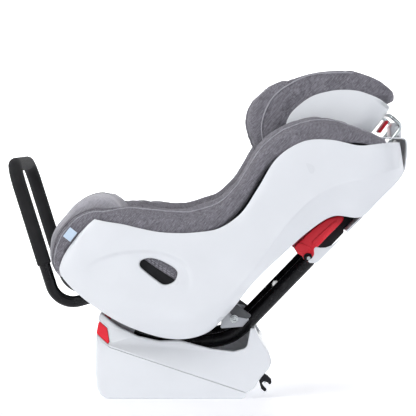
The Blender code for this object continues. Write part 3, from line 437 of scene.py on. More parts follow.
def sheet_over(rows, closed=False, capped=False):
    """A bmesh sheet whose corners lie on rows of points."""
    bm = bmesh.new()
    if closed:
        rows = [list(row) + [row[0]] for row in rows]
    bmesh.ops.create_grid(bm, x_segments=len(rows[0]) - 1, y_segments=len(rows) - 1, size=1.0)
    for vert, point in zip(bm.verts, (point for row in rows for point in row)):
        vert.co = point
    bmesh.ops.remove_doubles(bm, verts=bm.verts, dist=MERGE)
    if capped:
        bmesh.ops.holes_fill(bm, edges=[edge for edge in bm.edges if edge.is_boundary])
    bmesh.ops.recalc_face_normals(bm, faces=bm.faces)
    return bm


print("rows and sheets are ready")

# %% [markdown]
# ### From bench to scene
#
# A finished bmesh becomes a linked object with its sharp edges marked. Then it is dressed: it gets its
# finish, the body that carries it, and the mechanical parts that it takes the place of.

# %% Objects and dressing
def as_object(name, bm, crease=40):
    """A linked object from a bmesh, smooth but for edges sharper than the crease (degrees)."""
    mesh = bpy.data.meshes.new(name)
    bm.to_mesh(mesh)
    bm.free()
    mesh.shade_smooth()
    mesh.set_sharp_from_angle(angle=math.radians(crease))
    obj = bpy.data.objects.new(name, mesh)
    bpy.context.scene.collection.objects.link(obj)
    return obj


def dress(obj, body, slot, finish, *stands_for):
    """Give a finished piece its material, its body and the parts that it stands for; the slot is not used."""
    obj.data.materials.clear()
    obj.data.materials.append(finish)
    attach(obj, body)
    if stands_for:
        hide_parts(*stands_for)
    print(f"{obj.name}: {len(obj.data.polygons)} faces on {body}")
    return obj


def settled(obj):
    """Apply an object's modifiers to its mesh."""
    graph = bpy.context.evaluated_depsgraph_get()
    mesh = bpy.data.meshes.new_from_object(obj.evaluated_get(graph))
    obj.modifiers.clear()
    obj.data = mesh
    return obj


print("objects can be dressed")

# %% [markdown]
# ### Outlines with rounded corners and eased edges
#
# A moulded part has a side outline with rounded corners, and its long edges are eased as well. The
# outline's corners become arcs. Then the outline is repeated from one face to the other: near a face it
# shrinks on a quarter circle, which is exactly what a file or a router does to an edge.

# %% Outlines
def round_corners(outline, steps=5):
    """Points of an outline whose rows are x, z, the corner's radius and the ease of the edge there."""
    points = []
    count = len(outline)
    for i, (x, z, radius, ease) in enumerate(outline):
        here = Vector((x, z))
        into = Vector(outline[i - 1][:2]) - here
        out = Vector(outline[(i + 1) % count][:2]) - here
        half = into.angle(out) / 2
        if radius <= 0 or half > math.radians(88):
            points.append((x, z, ease))
            continue
        reach = min(radius / math.tan(half), 0.49 * min(into.length, out.length))
        radius = reach * math.tan(half)
        centre = here + (into.normalized() + out.normalized()).normalized() * (radius / math.sin(half))
        first = here + into.normalized() * reach - centre
        last = here + out.normalized() * reach - centre
        begin = math.atan2(first.y, first.x)
        turn = (math.atan2(last.y, last.x) - begin + math.pi) % (2 * math.pi) - math.pi
        for k in range(steps + 1):
            angle = begin + turn * k / steps
            points.append((centre.x + radius * math.cos(angle), centre.y + radius * math.sin(angle), ease))
    return points


def cornered(outline, radius, ease):
    """The same for plain x, z points that share one radius and one ease."""
    return round_corners([(x, z, radius, ease) for x, z in outline])


def outward(points):
    """Unit normals of a closed outline, pointing out."""
    count = len(points)
    area = sum(points[i][0] * points[(i + 1) % count][1] - points[(i + 1) % count][0] * points[i][1]
               for i in range(count))
    sign = 1 if area > 0 else -1
    normals = []
    for i in range(count):
        run = Vector(points[(i + 1) % count][:2]) - Vector(points[i - 1][:2])
        run.normalize()
        normals.append((sign * run.y, -sign * run.x))
    return normals


print("outlines are ready")

# %% [markdown]
# ### Slabs
#
# The rows of a slab go from one face to the other, and each row is the outline, shrunk a little near the
# faces. A sheet over these rows, closed round and capped at both ends, is the solid. Most pieces come in
# pairs, so `between_planes` gives the two y planes of a piece on either side, lowest first.

# %% Slab
def slab(points, y_low, y_high, steps=4):
    """A bmesh solid of an outline (x, z, ease) between two y planes, its edges eased point by point."""
    normals = outward(points)
    angles = [math.radians(90 * k / steps) for k in range(steps + 1)]
    if max(ease for _, _, ease in points) <= 0:
        angles = [0.0]
    rows = []
    for y, side, turns in ((y_low, 1, angles[::-1]), (y_high, -1, angles)):
        for angle in turns:
            rise, shrink = 1 - math.sin(angle), 1 - math.cos(angle)
            rows.append([(x - nx * ease * shrink, y + side * ease * rise, z - nz * ease * shrink)
                         for (x, z, ease), (nx, nz) in zip(points, normals)])
    return sheet_over(rows, closed=True, capped=True)


def between_planes(side, near, far):
    """Two y planes on one side of the seat, lowest first."""
    return sorted((side * near, side * far))


print("slabs are ready")

# %% [markdown]
# ### Blocks, discs and cuts
#
# Blocks and discs start as a cube and a cone from bmesh and get their edges bevelled. A cut is a Boolean
# modifier that is applied at once. The manifold solver is fast and exact for closed solids like these.

# %% Blocks, discs and cuts
def block(centre, size, edge=0.0, segments=3, tilt=0.0):
    """A bmesh box with rounded edges, tilted about Y by some degrees."""
    bm = bmesh.new()
    bmesh.ops.create_cube(bm, size=1.0)
    bmesh.ops.scale(bm, vec=size, verts=bm.verts)
    if edge:
        bmesh.ops.bevel(bm, geom=list(bm.edges), offset=edge, segments=segments, profile=0.5,
                        affect="EDGES", material=-1)
    bmesh.ops.rotate(bm, verts=bm.verts, matrix=Matrix.Rotation(math.radians(-tilt), 3, "Y"))
    bmesh.ops.translate(bm, verts=bm.verts, vec=centre)
    return bm


def disc(centre, radius, length, segments=32, edge=0.0):
    """A bmesh cylinder along Y, its rims rounded."""
    bm = bmesh.new()
    bmesh.ops.create_cone(bm, cap_ends=True, segments=segments, radius1=radius, radius2=radius, depth=length)
    if edge:
        rims = [e for e in bm.edges if abs(e.verts[0].co.z - e.verts[1].co.z) < MERGE]
        bmesh.ops.bevel(bm, geom=rims, offset=edge, segments=3, profile=0.5, affect="EDGES", material=-1)
    bmesh.ops.rotate(bm, verts=bm.verts, matrix=Matrix.Rotation(math.pi / 2, 3, "X"))
    bmesh.ops.translate(bm, verts=bm.verts, vec=centre)
    return bm


def cut(obj, *cutters):
    """Cut other solids out of an object, then remove them."""
    tools = [as_object("cutter", cutter) for cutter in cutters]
    for tool in tools:
        change = obj.modifiers.new("cut", "BOOLEAN")
        change.operation = "DIFFERENCE"
        change.solver = "MANIFOLD"
        change.object = tool
    settled(obj)
    for tool in tools:
        bpy.data.objects.remove(tool)
    return obj


def eased(obj, width, segments=3, angle=35):
    """A Bevel that rounds every edge sharper than an angle."""
    bevel = obj.modifiers.new("eased_edges", "BEVEL")
    bevel.width = width
    bevel.segments = segments
    bevel.limit_method = "ANGLE"
    bevel.angle_limit = math.radians(angle)
    return obj


print("blocks, discs and cuts are ready")

# %% [markdown]
# ### Bent tubes
#
# A tube is a curve with a round bevel. Its corners are arcs of the bending tool's radius, and the curve
# is made a mesh at once, so that its caps can be merged to one closed skin.

# %% Tubes
def bent(points, radius, count=12):
    """A polyline whose inner corners are arcs of one bend radius."""
    points = [Vector(point) for point in points]
    result = [points[0]]
    for before, here, after in zip(points, points[1:], points[2:]):
        into, out = (before - here).normalized(), (after - here).normalized()
        half = into.angle(out) / 2
        reach = radius / math.tan(half)
        centre = here + (into + out).normalized() * (radius / math.sin(half))
        first = (here + into * reach - centre).normalized()
        last = (here + out * reach - centre).normalized()
        result += [centre + first.slerp(last, i / (count - 1)) * radius for i in range(count)]
    return result + [points[-1]]


def tube(name, points, radius, fineness=6, tapers=None):
    """A closed round tube along points; tapers are radius factors for its first and last points."""
    curve = bpy.data.curves.new(name, "CURVE")
    curve.dimensions = "3D"
    curve.bevel_depth = radius
    curve.bevel_resolution = fineness
    curve.use_fill_caps = True
    spline = curve.splines.new("POLY")
    spline.points.add(len(points) - 1)
    for point, place in zip(spline.points, points):
        point.co = (*place, 1.0)
    for i, factor in enumerate(tapers or ()):
        spline.points[i].radius = factor
        spline.points[-1 - i].radius = factor
    holder = bpy.data.objects.new(name, curve)
    bpy.context.scene.collection.objects.link(holder)
    graph = bpy.context.evaluated_depsgraph_get()
    bm = bmesh.new()
    bm.from_mesh(bpy.data.meshes.new_from_object(holder.evaluated_get(graph)))
    bpy.data.objects.remove(holder)
    bmesh.ops.remove_doubles(bm, verts=bm.verts, dist=MERGE)
    bmesh.ops.recalc_face_normals(bm, faces=bm.faces)
    return as_object(name, bm)


print("tubes can be bent")

# %% [markdown]
# ### Borrowed parts
#
# Small hard parts such as the buckle already have the right shape. A copy of the mechanical mesh is
# merged, its flat faces are joined up again, and a Bevel eases its edges. The original isn't touched.

# %% Softened copies
def softened(node, width, segments=2):
    """A copy of a mechanical part, its triangles merged and its edges eased."""
    bm = bmesh.new()
    bm.from_mesh(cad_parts[node].data)
    bmesh.ops.remove_doubles(bm, verts=bm.verts, dist=MERGE)
    bmesh.ops.dissolve_limit(bm, angle_limit=math.radians(1), verts=bm.verts, edges=bm.edges)
    return eased(as_object(node + "_finished", bm), width, segments)


print("copies can be softened")

# %% [markdown]
# ## The side shells
#
# Each side shell is one big moulding, thin and doubly curved. It is described by stations: at each one
# the bottom edge, the top edge, how far the face is set in, and how its lower part turns in. Towards the
# rear the turn becomes a crisp character line, so one column of the sheet follows that line exactly.
# Round the hand-hold the face is pressed in by a few millimetres under a curved crease.

# %% Side shell tables
SHELL_HALF_WIDTH = 0.215
SHELL_WALL = 0.0026
# bottom x and z, top x and z, inset, turn-in, the share of the height where that starts, its power
SHELL_STATIONS = (
    (-0.187, 0.384, -0.172, 0.397, 0.008, 0.004, 0.30, 2.2),
    (-0.215, 0.353, -0.148, 0.392, 0.003, 0.010, 0.30, 2.2),
    (-0.243, 0.308, -0.110, 0.386, 0.000, 0.016, 0.30, 2.2),
    (-0.243, 0.272, -0.081, 0.379, 0.000, 0.018, 0.30, 2.2),
    (-0.187, 0.216, -0.037, 0.370, 0.000, 0.022, 0.30, 2.2),
    (-0.103, 0.163, 0.007, 0.367, 0.000, 0.034, 0.30, 2.2),
    (-0.009, 0.134, 0.051, 0.369, 0.000, 0.042, 0.30, 2.2),
    (0.066, 0.145, 0.098, 0.378, 0.000, 0.042, 0.30, 2.2),
    (0.120, 0.193, 0.144, 0.410, 0.000, 0.038, 0.22, 1.8),
    (0.174, 0.260, 0.180, 0.463, 0.000, 0.030, 0.17, 1.4),
    (0.233, 0.317, 0.221, 0.528, 0.000, 0.032, 0.25, 1.08),
    (0.292, 0.370, 0.277, 0.564, 0.000, 0.034, 0.325, 1.08),
    (0.345, 0.402, 0.336, 0.568, 0.000, 0.036, 0.39, 1.08),
    (0.404, 0.400, 0.395, 0.556, 0.001, 0.036, 0.53, 1.08),
    (0.444, 0.436, 0.430, 0.558, 0.004, 0.034, 0.475, 1.1),
    (0.474, 0.468, 0.458, 0.562, 0.015, 0.022, 0.37, 1.3),
    (0.492, 0.488, 0.478, 0.562, 0.033, 0.013, 0.28, 1.4),
    (0.500, 0.499, 0.490, 0.562, 0.0495, 0.000, 0.25, 1.5),
)
HAND_HOLD = (
    (-0.077, 0.300), (-0.074, 0.308), (-0.065, 0.313), (-0.052, 0.315), (-0.035, 0.312), (-0.015, 0.303),
    (0.000, 0.294), (0.008, 0.285), (0.009, 0.276), (0.005, 0.265), (-0.004, 0.257), (-0.017, 0.253),
    (-0.028, 0.255), (-0.041, 0.264), (-0.059, 0.278), (-0.074, 0.291),
)
RECESS_LINE = (
    (-0.208, 0.280), (-0.184, 0.302), (-0.153, 0.318), (-0.122, 0.327), (-0.092, 0.330), (-0.059, 0.331),
    (-0.030, 0.328), (-0.004, 0.320), (0.018, 0.308), (0.033, 0.291), (0.040, 0.272), (0.038, 0.250),
    (0.024, 0.231),
)
RECESS_DEPTH = 0.0045
RECESS_REACH = 0.095                 # how far below the crease the pressing fades out
hand_hold = smooth_loop(HAND_HOLD, 4)
recess_line = smooth_rows(RECESS_LINE, 6)


def recess(x, z):
    """How deep the face is pressed in at a point: most under the crease, then less and less."""
    near, best, share = None, 1.0, 0.0
    for i, (a, b) in enumerate(zip(recess_line, recess_line[1:])):
        run = Vector((b[0] - a[0], b[1] - a[1]))
        along = min(max((Vector((x - a[0], z - a[1]))).dot(run) / run.length_squared, 0.0), 1.0)
        distance = math.hypot(x - a[0] - run.x * along, z - a[1] - run.y * along)
        if distance < best:
            inside = run.x * (z - a[1]) - run.y * (x - a[0]) < 0
            near, best, share = inside, distance, (i + along) / (len(recess_line) - 1)
    if not near:
        return 0.0
    ends = ramp(min(share, 1.0 - share) / 0.22)
    return RECESS_DEPTH * ramp(best / 0.0075) * (1 - ramp(best / RECESS_REACH)) * ends


print("hand-hold outline:", len(hand_hold), "points")

# %% [markdown]
# ### From stations to a sheet
#
# A row of points runs from the bottom edge to the top edge of each station. The hand-hold is cut by
# taking away the faces inside its outline and moving the ragged rim onto that outline. Its lip is then
# rolled inwards in four short extrusions, each a little further in and a little less outwards.

# %% Shell rows
def shell_row(station, side, count):
    """Points of one station, from its bottom edge to its top edge."""
    x0, z0, x1, z1, inset, turn_in, crease, power = station
    turn_top = min(0.0042, 0.25 * math.hypot(x1 - x0, z1 - z0))
    row = []
    for k in range(count + 1):
        share = k / count
        t = crease * share / 0.35 if share < 0.35 else crease + (1 - crease) * (share - 0.35) / 0.65
        x, z = x0 + (x1 - x0) * t, z0 + (z1 - z0) * t
        low, high = max(0.0, 1 - t / crease), max(0.0, (t - 0.82) / 0.18)
        y = SHELL_HALF_WIDTH - inset - turn_in * low ** power - turn_top * high ** 2 - recess(x, z)
        row.append((x, side * y, z))
    return row


def within(x, z, outline):
    """Whether a point is inside a closed outline."""
    odd = False
    for (x0, z0), (x1, z1) in zip(outline, outline[1:] + outline[:1]):
        if (z0 > z) != (z1 > z) and x < x0 + (z - z0) * (x1 - x0) / (z1 - z0):
            odd = not odd
    return odd


def nearest_corner(vert):
    """Number of the hand-hold corner that is nearest to a vertex."""
    return min(range(len(hand_hold)), key=lambda i: (hand_hold[i][0] - vert.co.x) ** 2
               + (hand_hold[i][1] - vert.co.z) ** 2)


def onto_outline(vert):
    """The nearest point of the hand-hold's outline, at the vertex's own depth."""
    i = nearest_corner(vert)
    before, here, after = hand_hold[i - 1], hand_hold[i], hand_hold[(i + 1) % len(hand_hold)]
    best = None
    for a, b in ((before, here), (here, after)):
        run = Vector((b[0] - a[0], b[1] - a[1]))
        along = min(max(Vector((vert.co.x - a[0], vert.co.z - a[1])).dot(run) / run.length_squared, 0), 1)
        spot = Vector((a[0] + run.x * along, vert.co.y, a[1] + run.y * along))
        if best is None or (spot - vert.co).length < (best - vert.co).length:
            best = spot
    return best


print("rows of", len(SHELL_STATIONS), "stations")

# %% [markdown]
# ### Cutting, rolling and thickening
#
# The sheet is cut and its lip rolled while it has no thickness. A Solidify modifier then gives the wall,
# inwards from the outer face, and a fine Bevel breaks the wall's edges.

# %% Side shells
LIP_STEPS = ((0.0007, 0.0005), (0.0010, 0.0014), (0.0006, 0.0025), (0.0002, 0.0060))   # inward, deeper


def side_shell(side, label):
    """One side shell: a sheet with its hand-hold cut, a rolled lip round the hole, and a wall."""
    fine = 18
    count = 84
    bm = sheet_over([shell_row(station, side, count) for station in smooth_rows(SHELL_STATIONS, fine)])
    if sum(face.normal.y * side * face.calc_area() for face in bm.faces) < 0:
        bmesh.ops.reverse_faces(bm, faces=bm.faces)
    inner = {vert for vert in bm.verts
             if -0.09 < vert.co.x < 0.02 and within(vert.co.x, vert.co.z, hand_hold)}
    gone = [face for face in bm.faces if any(vert in inner for vert in face.verts)]
    bmesh.ops.delete(bm, geom=gone, context="FACES")
    rim = [edge for edge in bm.edges if edge.is_boundary
           and all(-0.09 < v.co.x < 0.02 and 0.24 < v.co.z < 0.33 for v in edge.verts)]
    normals = outward([(x, z, 0.0) for x, z in hand_hold])
    lip = {vert for edge in rim for vert in edge.verts}
    for vert in lip:
        vert.co = onto_outline(vert)
    around = {v for vert in lip for edge in vert.link_edges for v in edge.verts} - lip
    around |= {v for vert in around for edge in vert.link_edges for v in edge.verts} - lip
    beside_lip = [vert for vert in bm.verts if vert in around]
    for _ in range(4):
        bmesh.ops.smooth_vert(bm, verts=beside_lip, factor=0.5, use_axis_x=True, use_axis_z=True)
    for inward, deeper in LIP_STEPS:
        rolled = bmesh.ops.extrude_edge_only(bm, edges=rim)["geom"]
        rim = [item for item in rolled if isinstance(item, bmesh.types.BMEdge)]
        for vert in (item for item in rolled if isinstance(item, bmesh.types.BMVert)):
            nx, nz = normals[nearest_corner(vert)]
            vert.co += Vector((-nx * inward, -side * deeper, -nz * inward))
    shell = as_object(f"side_shell_{label}_moulding", bm, 60)
    wall = shell.modifiers.new("wall", "SOLIDIFY")
    wall.thickness = SHELL_WALL
    wall.offset = -1.0
    eased(shell, 0.0010, 2, 60)
    return dress(shell, "seat", "shell_white", shell_white, f"side_shell_{label}")


for side, label in SIDES:
    side_shell(side, label)

# %% [markdown]
# ## The base
#
# The base is two mouldings, one on the other. The wedge below sets the angle for rear-facing use; the
# housing above it is an open tub in which the rails of the seat run. The seam between them climbs from
# the rear foot to the front and then rounds the front corner. Their outer edges are large and soft, but
# along the seam they are nearly sharp, which is why each outline point has its own ease.

# %% Wedge
BASE_HALF_WIDTH = 0.155
BASE_WALL = 0.006
WEDGE = (
    (-0.149, 0.000, 0.006, 0.003), (0.149, 0.000, 0.004, 0.002), (0.1535, 0.004, 0.003, 0.0015),
    (0.157, 0.0125, 0.001, 0.0008), (-0.142, 0.1125, 0.02, 0.0008), (-0.158, 0.124, 0.01, 0.0008),
    (-0.1715, 0.1425, 0.001, 0.0012), (-0.174, 0.112, 0.05, 0.009), (-0.1745, 0.055, 0.05, 0.012),
    (-0.171, 0.022, 0.02, 0.012), (-0.162, 0.006, 0.012, 0.007),
)
WEDGE_HOLLOW = ((-0.162, 0.007), (0.110, 0.007), (0.112, 0.030), (-0.145, 0.200), (-0.162, 0.200))
wedge = as_object("wedge_moulding", slab(round_corners(WEDGE), -BASE_HALF_WIDTH, BASE_HALF_WIDTH, 6))
hollow_half = BASE_HALF_WIDTH - BASE_WALL
cut(wedge, slab(cornered(WEDGE_HOLLOW, 0.004, 0.003), -hollow_half, hollow_half))
dress(wedge, "wedge", "shell_white", shell_white, "rear_facing_wedge")

# %% [markdown]
# ### The housing
#
# The upper moulding is a solid slab from which the tub is cut, and then the opening at the rear, the
# pocket of the handle and the two slots of the lower anchors. The pocket is the handle's own outline,
# grown by a bit more than a millimetre, so that the handle runs free in it.

# %% Housing
HOUSING = (
    (-0.1418, 0.1133, 0.02, 0.0008), (0.158, 0.0130, 0.001, 0.0008), (0.174, 0.023, 0.010, 0.003),
    (0.190, 0.047, 0.03, 0.0045), (0.208, 0.067, 0.012, 0.005), (0.213, 0.082, 0.012, 0.005),
    (0.207, 0.102, 0.02, 0.005), (0.190, 0.127, 0.03, 0.0045), (0.176, 0.155, 0.002, 0.0025),
    (0.166, 0.155, 0.002, 0.0025), (0.158, 0.112, 0.012, 0.0035), (0.130, 0.104, 0.02, 0.004),
    (0.082, 0.110, 0.05, 0.004), (0.050, 0.118, 0.05, 0.004), (0.011, 0.129, 0.03, 0.004),
    (-0.035, 0.128, 0.05, 0.004), (-0.080, 0.138, 0.05, 0.004), (-0.125, 0.160, 0.05, 0.004),
    (-0.161, 0.189, 0.003, 0.0025), (-0.1655, 0.184, 0.003, 0.0025), (-0.1715, 0.1435, 0.001, 0.0012),
    (-0.158, 0.1248, 0.01, 0.0008),
)
TUB = ((-0.150, 0.1235), (0.160, 0.0203), (0.170, 0.028), (0.186, 0.052), (0.202, 0.072), (0.206, 0.083),
       (0.201, 0.098), (0.184, 0.122), (0.170, 0.150), (0.170, 0.240), (-0.160, 0.240), (-0.1640, 0.1460))
HANDLE = ((-0.1715, 0.1445), (-0.1665, 0.172), (-0.148, 0.155), (-0.1435, 0.125), (-0.1460, 0.1205),
          (-0.158, 0.1315))
LATCH_Y = 0.136                      # how far each lower anchor is from the middle
HANDLE_GAP = 0.0014


def grown(outline, distance):
    """A closed outline moved outwards by a distance."""
    normals = outward([(x, z, 0.0) for x, z in outline])
    return [(x + nx * distance, z + nz * distance) for (x, z), (nx, nz) in zip(outline, normals)]


housing = as_object("base_moulding", slab(round_corners(HOUSING), -BASE_HALF_WIDTH, BASE_HALF_WIDTH, 6))
cutters = [slab(cornered(TUB, 0.004, 0.004), -hollow_half, hollow_half),
           block((0.180, 0.0, 0.165), (0.080, 0.210, 0.090), 0.010),
           slab([(x, z, 0.0) for x, z in grown(HANDLE, HANDLE_GAP)], -0.165, 0.165)]
cutters += [block((0.185, side * LATCH_Y, 0.047), (0.080, 0.017, 0.020), 0.003) for side, _ in SIDES]
cut(housing, *cutters)
dress(housing, "base", "shell_white", shell_white, "base_housing")

# %% [markdown]
# ### The recline handle
#
# A red squeeze handle sits in a pocket across the front corner. It is one U-shaped moulding, and its
# ends show at both sides of the base: a slab over the whole width, with the hand's space cut out.

# %% Recline handle
handle = as_object("recline_grip",
                   slab(cornered(HANDLE, 0.0035, 0.0018), -BASE_HALF_WIDTH, BASE_HALF_WIDTH))
cut(handle, block((-0.130, 0.0, 0.145), (0.060, 0.292, 0.080), 0.004))
dress(handle, "recline_handle", "red_plastic", red_plastic, "recline_handle")

# %% [markdown]
# ## Steel tubes
#
# Two tubes run down the back of the seat, round one bend and forward as the recline rails. The rails are
# an arc about the seat's own axis, because the seat reclines by sliding along them.

# %% Frame tubes
SEAT_AXIS = (-0.015, 0.312)
RAIL_RADIUS = 0.203
FRAME_TUBE_Y = 0.075
FRAME_TUBE_RADIUS = 0.016
rails = [(SEAT_AXIS[0] + RAIL_RADIUS * math.cos(math.radians(a)),
          SEAT_AXIS[1] + RAIL_RADIUS * math.sin(math.radians(a))) for a in range(245, 286, 2)]
bend = smooth_rows([rails[-1], (0.086, 0.119), (0.122, 0.129), (0.152, 0.150), (0.179, 0.177),
                    (0.295, 0.297)], 6)
frame_line = rails[:-1] + bend[:-1] + smooth_rows([(0.295, 0.297), (0.330, 0.340), (0.394, 0.417),
                                                   (0.452, 0.476)], 6)
for side, label in SIDES:
    tube_line = [(x, side * FRAME_TUBE_Y, z) for x, z in frame_line]
    piece = tube(f"frame_rail_{label}", tube_line, FRAME_TUBE_RADIUS)
    dress(piece, "seat", "black_tube", black_tube, f"frame_tube_{label}")

# %% [markdown]
# ### The anti-rebound bar
#
# The bar is a smaller tube, bent to a U that stands against the back of the vehicle's seat. A foam sleeve
# covers its upper part. Both follow one line, with bends of the bending tool's radius, and the sleeve's
# ends are rounded by a few thinner points.

# %% Anti-rebound bar
BAR_Y = 0.172
BAR_BEND = 0.050
BAR_TOP, BAR_CORNER = (-0.350, 0.513), (-0.254, 0.204)
BAR_FOOT, BAR_RISE = 0.150, math.radians(15.6)
BAR_END = (BAR_CORNER[0] + BAR_FOOT * math.cos(BAR_RISE), BAR_CORNER[1] + BAR_FOOT * math.sin(BAR_RISE))
half_bar = [(x, -BAR_Y, z) for x, z in (BAR_END, BAR_CORNER, BAR_TOP)]
bar_path = bent(half_bar + [(x, -y, z) for x, y, z in half_bar[::-1]], BAR_BEND, 16)
dress(tube("anti_rebound_bar", bar_path, 0.0127), "rebound_bar", "black_tube", black_tube,
      "rebound_bar_tube")
sleeve_foot = [BAR_CORNER[i] + 0.30 * (BAR_TOP[i] - BAR_CORNER[i]) for i in (0, 1)]
sleeve_line = bent([(sleeve_foot[0], -BAR_Y, sleeve_foot[1]), (BAR_TOP[0], -BAR_Y, BAR_TOP[1]),
                    (BAR_TOP[0], BAR_Y, BAR_TOP[1]), (sleeve_foot[0], BAR_Y, sleeve_foot[1])],
                   BAR_BEND, 16)


def stepped_in(points, steps):
    """A line with extra points near both ends, for a rounded end."""
    first, last = (points[1] - points[0]).normalized(), (points[-2] - points[-1]).normalized()
    return ([points[0] + first * s for s in steps] + points[1:-1]
            + [points[-1] + last * s for s in steps[::-1]])


soft_end = (0.0, 0.0006, 0.0016, 0.003)
dress(tube("bar_sleeve", stepped_in(sleeve_line, soft_end), 0.0155, 6, (0.85, 0.94, 0.985, 1.0)),
      "rebound_bar", "black_foam", black_foam, "rebound_bar_sleeve")

# %% [markdown]
# ### The headrest's rod
#
# A bent steel rod joins the headrest to the two sleeves in the back of the seat. The headrest slides on a
# slant, so its own pieces are written in its own axes: `u` along the slide and `w` forward of its back.

# %% Headrest rod
HEAD_ORIGIN = (0.436, 0.578)
HEAD_ANGLE = math.radians(53.5)


def head_point(u, w, y):
    """A point in the headrest's own axes: u along its slide, w forward of its back edge."""
    return Vector((HEAD_ORIGIN[0] + u * math.cos(HEAD_ANGLE) - w * math.sin(HEAD_ANGLE), y,
                   HEAD_ORIGIN[1] + u * math.sin(HEAD_ANGLE) + w * math.cos(HEAD_ANGLE)))


slide = Vector((math.cos(HEAD_ANGLE), 0.0, math.sin(HEAD_ANGLE)))
ROD_Y = 0.100
ROD_RADIUS = 0.00425
rod_bend = Vector((0.502, -ROD_Y, 0.598))
rod_half = [rod_bend - 0.185 * slide, rod_bend, head_point(0.058, -0.0055, -ROD_Y)]
rod_line = rod_half + [Vector((p.x, -p.y, p.z)) for p in rod_half[::-1]]
rod = tube("headrest_wire", bent(rod_line, 0.013, 10), ROD_RADIUS)
dress(rod, "headrest", "steel", steel, "headrest_rod")

# %% [markdown]
# ## The back of the seat
#
# Between the rear edges of the two side shells lies one panel. It curves from the belt path up over the
# back and ends in a flat deck, with a raised crown in the middle where the headrest slides through. Two
# narrow strips carry its lower edge on to the belt path.

# %% Back cover
COVER_HALF_WIDTH = 0.160
BACK_LINE = ((0.377, 0.3665), (0.411, 0.400), (0.448, 0.437), (0.484, 0.4735), (0.498, 0.493),
             (0.5045, 0.512), (0.508, 0.545), (0.507, 0.563), (0.500, 0.572), (0.480, 0.573),
             (0.452, 0.574))
BACK_STRIP = (
    (0.2905, 0.3035), (0.2950, 0.2990), (0.3100, 0.2985), (0.3160, 0.3035), (0.4110, 0.3990),
    (0.4085, 0.3990), (0.3980, 0.3895), (0.3820, 0.3725), (0.3610, 0.3510), (0.3420, 0.3370),
    (0.3300, 0.3325), (0.3190, 0.3320), (0.3080, 0.3340), (0.3045, 0.3300), (0.3050, 0.3180),
    (0.3000, 0.3090),
)
CROWN = ((0.484, 0.5715), (0.482, 0.596), (0.488, 0.606), (0.502, 0.607), (0.507, 0.600), (0.508, 0.560))


def beside(line, distance):
    """A line of x, z points moved to its left by a distance."""
    moved = []
    for i, (x, z) in enumerate(line):
        run = Vector(line[min(i + 1, len(line) - 1)]) - Vector(line[max(i - 1, 0)])
        run.normalize()
        moved.append((x - run.y * distance, z + run.x * distance))
    return moved


print("back line:", len(BACK_LINE), "points")

# %% [markdown]
# ### Panel, crown and strips
#
# The panel is a slab whose outline is one line and the same line moved in by the thickness of the wall.
# Two slots are cut in its deck for the headrest's rod.

# %% Back panel
back_line = smooth_rows(BACK_LINE, 4)
panel = [(x, z, 0.0012) for x, z in back_line + beside(back_line, 0.0035)[::-1]]
cover = as_object("back_panel", slab(panel, -COVER_HALF_WIDTH, COVER_HALF_WIDTH))
cut(cover, *[block((0.476, side * ROD_Y, 0.574), (0.034, 0.016, 0.020), 0.003) for side, _ in SIDES])
dress(cover, "seat", "shell_white", shell_white, "back_cover")
crown = as_object("back_crown", slab(cornered(CROWN, 0.004, 0.006), -0.045, 0.045))
dress(crown, "seat", "shell_white", shell_white)
for side, label in SIDES:
    y_low, y_high = between_planes(side, COVER_HALF_WIDTH - 0.0035, COVER_HALF_WIDTH)
    strip = as_object(f"back_strip_{label}", slab(cornered(BACK_STRIP, 0.003, 0.0008), y_low, y_high))
    dress(strip, "seat", "shell_white", shell_white)

# %% [markdown]
# ## The headrest shell
#
# The headrest is a U-shaped shell with a pad inside it. Its sections are taken square to the way it
# slides, so that every one is a plain U with round corners; they grow smaller towards the domed top.
# Each row below is one section: its place along the slide, its back and its front edge.

# %% Headrest sections
HEAD_HALF_WIDTH = 0.128
HEAD_WALL = 0.005
HEAD_SHELL = ((-0.160, 0.062, 0.120), (-0.104, 0.055, 0.163), (-0.075, 0.052, 0.1735), (-0.044, 0.030, 0.170),
              (-0.010, 0.006, 0.158), (0.022, 0.002, 0.133), (0.042, 0.001, 0.110), (0.058, 0.001, 0.084),
              (0.068, 0.003, 0.054), (0.072, 0.008, 0.034))
HEAD_PAD = ((-0.182, 0.070, 0.184), (-0.164, 0.069, 0.215), (-0.145, 0.068, 0.237), (-0.123, 0.066, 0.250),
            (-0.095, 0.063, 0.2555), (-0.066, 0.060, 0.252), (-0.039, 0.046, 0.242), (-0.018, 0.024, 0.227),
            (0.006, 0.013, 0.207), (0.028, 0.0115, 0.190), (0.050, 0.013, 0.168), (0.069, 0.0150, 0.146),
            (0.0760, 0.014, 0.138), (0.088, 0.006, 0.117), (0.098, 0.008, 0.090), (0.105, 0.016, 0.062))


def u_line(front, face_y, face_w, radius, steps):
    """Half of a U seen from above: from its front edge back and round to the middle."""
    radius = min(radius, face_y * 0.8, max(front - face_w, 0.004) * 0.8)
    line = [(front, face_y)]
    for k in range(1, 6):
        line.append((front + (face_w + radius - front) * k / 6, face_y))
    for k in range(steps + 1):
        a = math.radians(90 * k / steps)
        line.append((face_w + radius * (1 - math.sin(a)), face_y - radius * (1 - math.cos(a))))
    return line


def u_ring(u, back, front, half, side_wall, back_wall, corner, steps=10):
    """One closed U-shaped section of the headrest, open to the front."""
    outer = u_line(front, half, back, corner, steps)
    inner = u_line(front, half - side_wall, back + back_wall, corner - side_wall * 0.5, steps)
    ring = outer + [(w, -y) for w, y in outer[::-1]] + [(w, -y) for w, y in inner] + inner[::-1]
    return [head_point(u, w, y) for w, y in ring]


print(len(HEAD_SHELL), "sections for the shell,", len(HEAD_PAD), "for the pad")

# %% [markdown]
# ### Shell and release
#
# A sheet over the rings is the shell, closed at both ends. The red release that is squeezed to move the
# headrest is a small block with round edges, turned with the slide.

